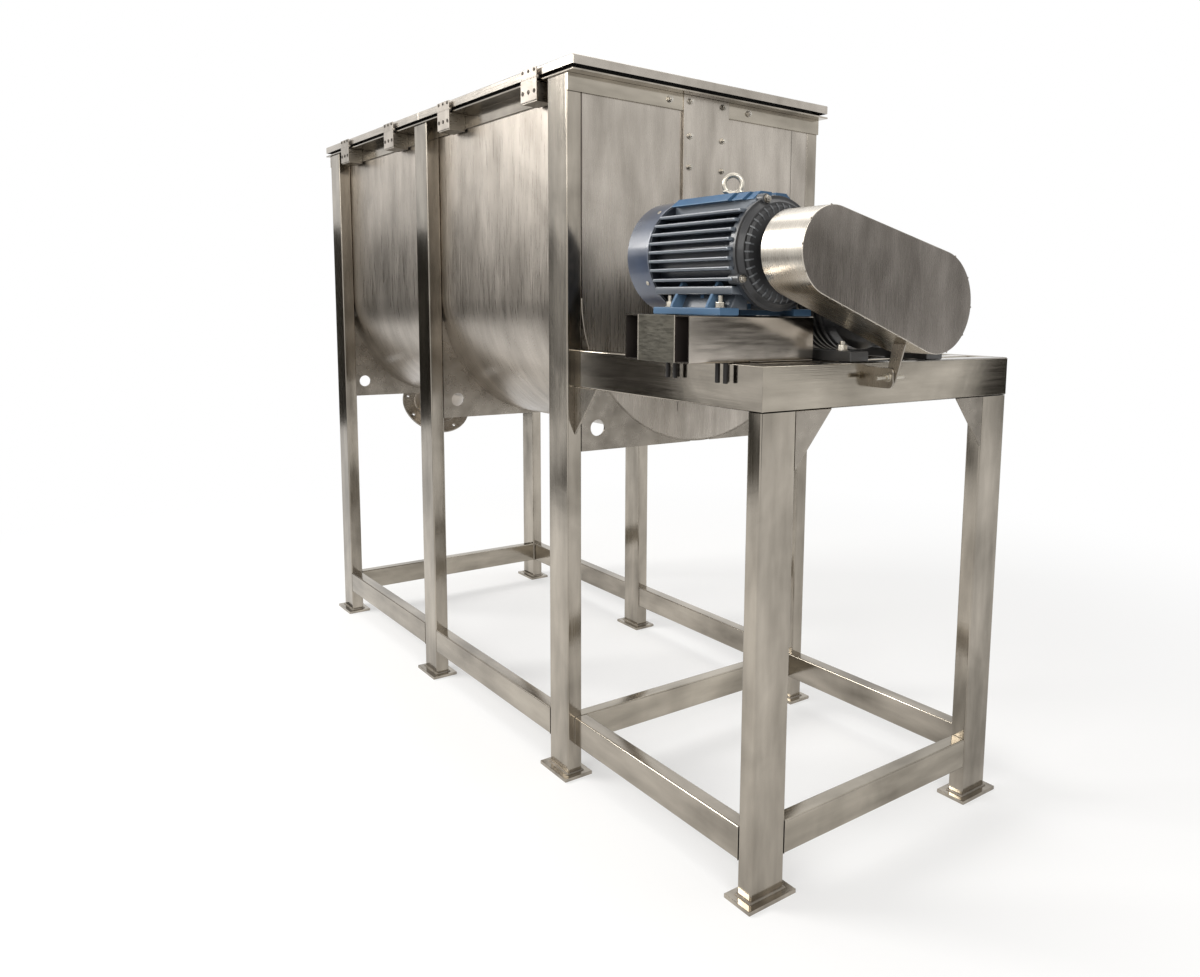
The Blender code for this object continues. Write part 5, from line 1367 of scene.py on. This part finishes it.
turn_up([(0, motor_bore), (0, 0.122), (0.007, 0.122), (0.007, 0.116), (0.011, 0.113),
         (0.018, 0.108), (0.018, 0.102), (0.022, 0.098), (0.026, 0.078), (0.0335, 0.066),
         (0.0338, 0.040), (0.029, 0.038), (0.029, motor_bore)], on_motor(shield_x),
        ends="join", steps=96)
take("motor_bell", bell_dark, stands_for=("motor_end_shield",))
ribs = []
for number in range(36):
    rib = block(on_motor(shield_x + 0.010, -0.0016, 0.070),
                on_motor(shield_x + 0.0245, 0.0016, 0.1105))
    slice_off(rib, on_motor(shield_x + 0.0245, 0, 0.096), (0.017, 0, 0.012))
    ribs.append(turn_round_motor(rib, math.tau * number / 36))
hold(fuse(ribs))
take("motor_bell_ribs", bell_dark)
lugs, lug_bolts = [], []
lug_ring, lug_radius = 0.119, 0.0115
for degrees, long in ((20, 0.030), (-52, 0.030), (118, 0.034), (-126, 0.034)):
    angle = math.radians(degrees)
    aside, up = -math.sin(angle) * lug_ring, math.cos(angle) * lug_ring
    ear = drum(lug_radius, on_motor(shield_x - long + 0.012, aside, up), long, 0, 28)
    lugs.append(round_edges(ear, lambda edge: not runs_along(0)(edge), 0.0025))
    lug_bolts.append((on_motor(shield_x + 0.012, aside, up), (1, 0, 0), angle))
gather(lugs, "motor_shield_lugs", bell_dark)
set_out(hex_bolt(0.0145, 0.006, 0.0085, 0.0015), lug_bolts, "motor_shield_bolts", bolt_steel)

foot_low = base_high.z + gap
foot_high = foot_low + 0.016
front_bolt_x = front_x - 0.035 - 0.086
bolt_xs = (front_bolt_x - 0.178, front_bolt_x)
foot_middle = sum(bolt_xs) / 2
foot_aside, bar_half_long, bar_half_wide = 0.108, 0.119, 0.0275
bars, webs, pads = [], [], []
for sign in (-1, 1):
    bar_y = motor_y + sign * foot_aside
    bars.append(soften(block((foot_middle - bar_half_long, bar_y - bar_half_wide, foot_low),
                             (foot_middle + bar_half_long, bar_y + bar_half_wide, foot_high)),
                       0.003))
    for bolt_at, way in ((bolt_xs[0], 1), (bolt_xs[1], -1)):
        outer_y = bar_y + sign * 0.018
        web = block((bolt_at + way * 0.022, bar_y - sign * 0.027, foot_high - 0.002),
                    (bolt_at + way * 0.031, outer_y, motor_z - 0.060))
        slice_off(web, (bolt_at, outer_y, foot_high + 0.004), (0, sign * 0.052, 0.030))
        webs.append(soften(web, 0.0015, 1))
    chock_in = motor_y + sign * 0.050
    chock = block((foot_middle - 0.006, min(bar_y - sign * 0.020, chock_in), foot_high - 0.002),
                  (foot_middle + 0.006, max(bar_y + sign * 0.004, chock_in), motor_z - 0.080))
    webs.append(soften(chock, 0.002))
gather(bars, "motor_foot_bars", deck_blue)
gather(webs, "motor_foot_webs", deck_blue)
for sign in (-1, 1):
    pad = block((foot_middle - 0.112, motor_y + sign * 0.052, foot_high - 0.004),
                (foot_middle + 0.112, motor_y + sign * 0.100, motor_z - 0.078))
    slice_off(pad, (foot_middle, motor_y + sign * 0.098, foot_high), (0, sign * 0.045, 0.022))
    pads.append(soften(pad, 0.003))
hold(fuse(pads))
take("motor_foot_blocks", motor_navy)
set_out(hex_bolt(0.021, 0.010, 0.0125, 0.014, 0.0055),
        [((bolt_at, motor_y + sign * foot_aside, foot_high), (0, 0, 1), bolt_at * 9)
         for bolt_at in bolt_xs for sign in (-1, 1)], "motor_foot_nuts", zinc_bolt)
# the near studs' tails hang in pairs below the motor base
stud_dark = cast("stud_dark", (0.022, 0.020, 0.019), 0.5, 0.3, metal=0.5)
tails = [soften(drum(0.0055, (bolt_at + shift - 0.006, motor_y - foot_aside, rail_top - 0.044),
                     0.060, 2, 20), 0.0012, 1) for bolt_at in bolt_xs for shift in (0.0, 0.027)]
gather(tails, "motor_stud_tails", stud_dark)

# Eye bolt: forged and zinc plated, screwed into a cast boss on the motor's top. The ring stands
# turned to the motor's axis and its foot widens into the collar.
eye_low, eye_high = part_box("eye_bolt")
eye_spot = Vector(((eye_low.x + eye_high.x) / 2, motor_y, eye_low.z))
turn_up([(-0.020, 0.017), (-0.002, 0.017), (0, 0.015)], eye_spot, 2, 32, edge=0.001)
take("eye_boss", motor_navy)
collar = turn_up([(0, 0.013), (0.005, 0.013), (0.008, 0.009)], eye_spot, 2, 32, edge=0.001)
deselect()
bpy.ops.mesh.primitive_torus_add(major_segments=64, minor_segments=20, major_radius=0.020,
                                 minor_radius=0.0058, location=eye_spot + Vector((0, 0, 0.0262)),
                                 rotation=(math.pi / 2, 0, math.radians(51)))
eye = settle()
pick(eye, lambda face: face.calc_center_median().z < eye_spot.z + 0.010, "FACE")
bpy.ops.transform.resize(value=(1.25, 1.25, 1), center_override=eye_spot + Vector((0, 0, 0.006)))
done()
smooth(fuse([collar, eye]), 60)
take("eye_bolt_ring", zinc_bolt, stands_for=("eye_bolt",))

# Fan cover: pressed sheet in grey-blue enamel with a rolled rim and four screws. Its end has a
# grille of slotted rings, and the plastic fan turns behind it.
cover_navy = cast("cover_navy", (0.028, 0.040, 0.070), 0.30, 0.25, 20, 0.15, coat=0.4,
                  edge=(0.16, 0.17, 0.19))
fan_plastic = cast("fan_plastic", (0.030, 0.030, 0.032), 0.5, 0.15, 40, 0.2)
hood_long, hood_radius, hood_sheet, cap_radius = cover_high.x - cover_low.x, 0.132, 0.0022, 0.031
turn_up([(hood_sheet, 0.030), (0, cap_radius), (0, 0.118), (0.003, 0.126), (0.010, hood_radius),
         (hood_long - 0.004, hood_radius), (hood_long - 0.002, hood_radius),
         (hood_long, hood_radius - 0.0008), (hood_long, hood_radius - hood_sheet),
         (0.011, hood_radius - hood_sheet), (0.0052, 0.1245), (hood_sheet, 0.1165),
         (hood_sheet, 0.030)], on_motor(cover_low.x), ends="join", edge=0, steps=96)
hood = bpy.context.object
slot_half = 0.0048
slots = []
for ring_in, ring_out, count, offset in ((0.040, 0.066, 14, 0.0), (0.074, 0.104, 24, 0.5)):
    for number in range(count):
        slot = block(on_motor(cover_low.x - 0.01, -slot_half, ring_in),
                     on_motor(cover_low.x + 0.01, slot_half, ring_out))
        soften(slot, 0.0045, 4, runs_along(0))
        slots.append(turn_round_motor(slot, math.tau * (number + offset) / count))
carve(hood, fuse(slots))
smooth(hood)
take("fan_hood", cover_navy, stands_for=("fan_cover",))
turn_up([(0, cap_radius), (0.0014, cap_radius), (0.0022, 0.029)], on_motor(cover_low.x - 0.0004),
        edge=0, steps=48)
take("fan_hood_cap", cover_navy)
screw_spots = []
for degrees in (118, -118, 40, -40):
    angle = math.radians(degrees)
    out = Vector((0, -math.sin(angle), math.cos(angle)))
    spot = on_motor(cover_high.x - 0.020) + out * (hood_radius - 0.0006)
    screw_spots.append((spot, out, angle))
set_out(slotted_head(0.0052, 0.0026, 0.0012, 3, 0.0006, 0.0014), screw_spots, "fan_hood_screws",
        zinc_bolt)
rotor_low, rotor_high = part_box("motor_shaft")
rotor_long = rotor_high.x - rotor_low.x
turn_up([(0.012, 0.019), (rotor_long - 0.002, 0.019), (rotor_long, 0.017)], on_motor(rotor_low.x),
        edge=0, steps=48)
take("rotor_bar", shaft_bright, "motor_rotor", stands_for=("motor_shaft",))
fan_long, fan_hub = drum_start - rotor_low.x - 0.006, 0.034
fan = [turn_up([(0, 0.030), (fan_long * 0.5, fan_hub), (fan_long, fan_hub)], on_motor(rotor_low.x),
               edge=0.001, steps=48),
       turn_up([(fan_long - 0.003, fan_hub), (fan_long - 0.003, 0.109), (fan_long, 0.109),
                (fan_long, fan_hub)], on_motor(rotor_low.x), ends="join", edge=0)]
for number in range(6):
    blade = block(on_motor(rotor_low.x + 0.001, -0.0012, 0.028),
                  on_motor(rotor_low.x + fan_long - 0.001, 0.0012, 0.110))
    slice_off(blade, on_motor(rotor_low.x, 0, 0.092), (-0.018, 0, 0.010))
    fan.append(turn_round_motor(blade, math.tau * number / 6))
gather(fan, "cooling_fan", fan_plastic, "motor_rotor")

# Terminal box: a cast case with a dished lid on four screws, bolted to the motor's far side. A
# plastic cable gland points down from it.
box_low, box_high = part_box("terminal_box")
lid_thick, screw_in = 0.0078, 0.009
case = block((box_low.x, box_low.y, motor_z), (box_high.x, box_high.y - 0.008, box_high.z))
soften(case, 0.006, 3)
take("terminal_case", motor_navy, stands_for=("terminal_box",))
lid = block((box_low.x, box_high.y - lid_thick, motor_z), box_high)
pick(lid, lambda face: face.normal.y > 0.9, "FACE")
bpy.ops.mesh.inset(thickness=0.014)
bpy.ops.transform.translate(value=(0, -0.0016, 0))
done()
soften(lid, 0.002)
take("terminal_lid", motor_navy)
set_out(soften(drum(0.0042, (0, 0, 0), 0.002, 2, 20), 0.001),
        [((x, box_high.y - 0.0018, z), (0, 1, 0), 0.4)
         for x in (box_low.x + screw_in, box_high.x - screw_in)
         for z in (motor_z + screw_in, box_high.z - screw_in)], "terminal_screws", zinc_bolt)
gland_x, gland_y = (box_low.x + box_high.x) / 2, (box_low.y + box_high.y) / 2
gather([drum(0.012, (gland_x, gland_y, box_low.z + 0.010), motor_z - box_low.z - 0.008, 2, 6),
        turn_up([(0, 0.0065), (0, 0.0105), (0.012, 0.0115)], (gland_x, gland_y, box_low.z), 2, 32,
                edge=0.001)], "terminal_gland", fan_plastic)

bpy.context.view_layer.update()
low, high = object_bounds()
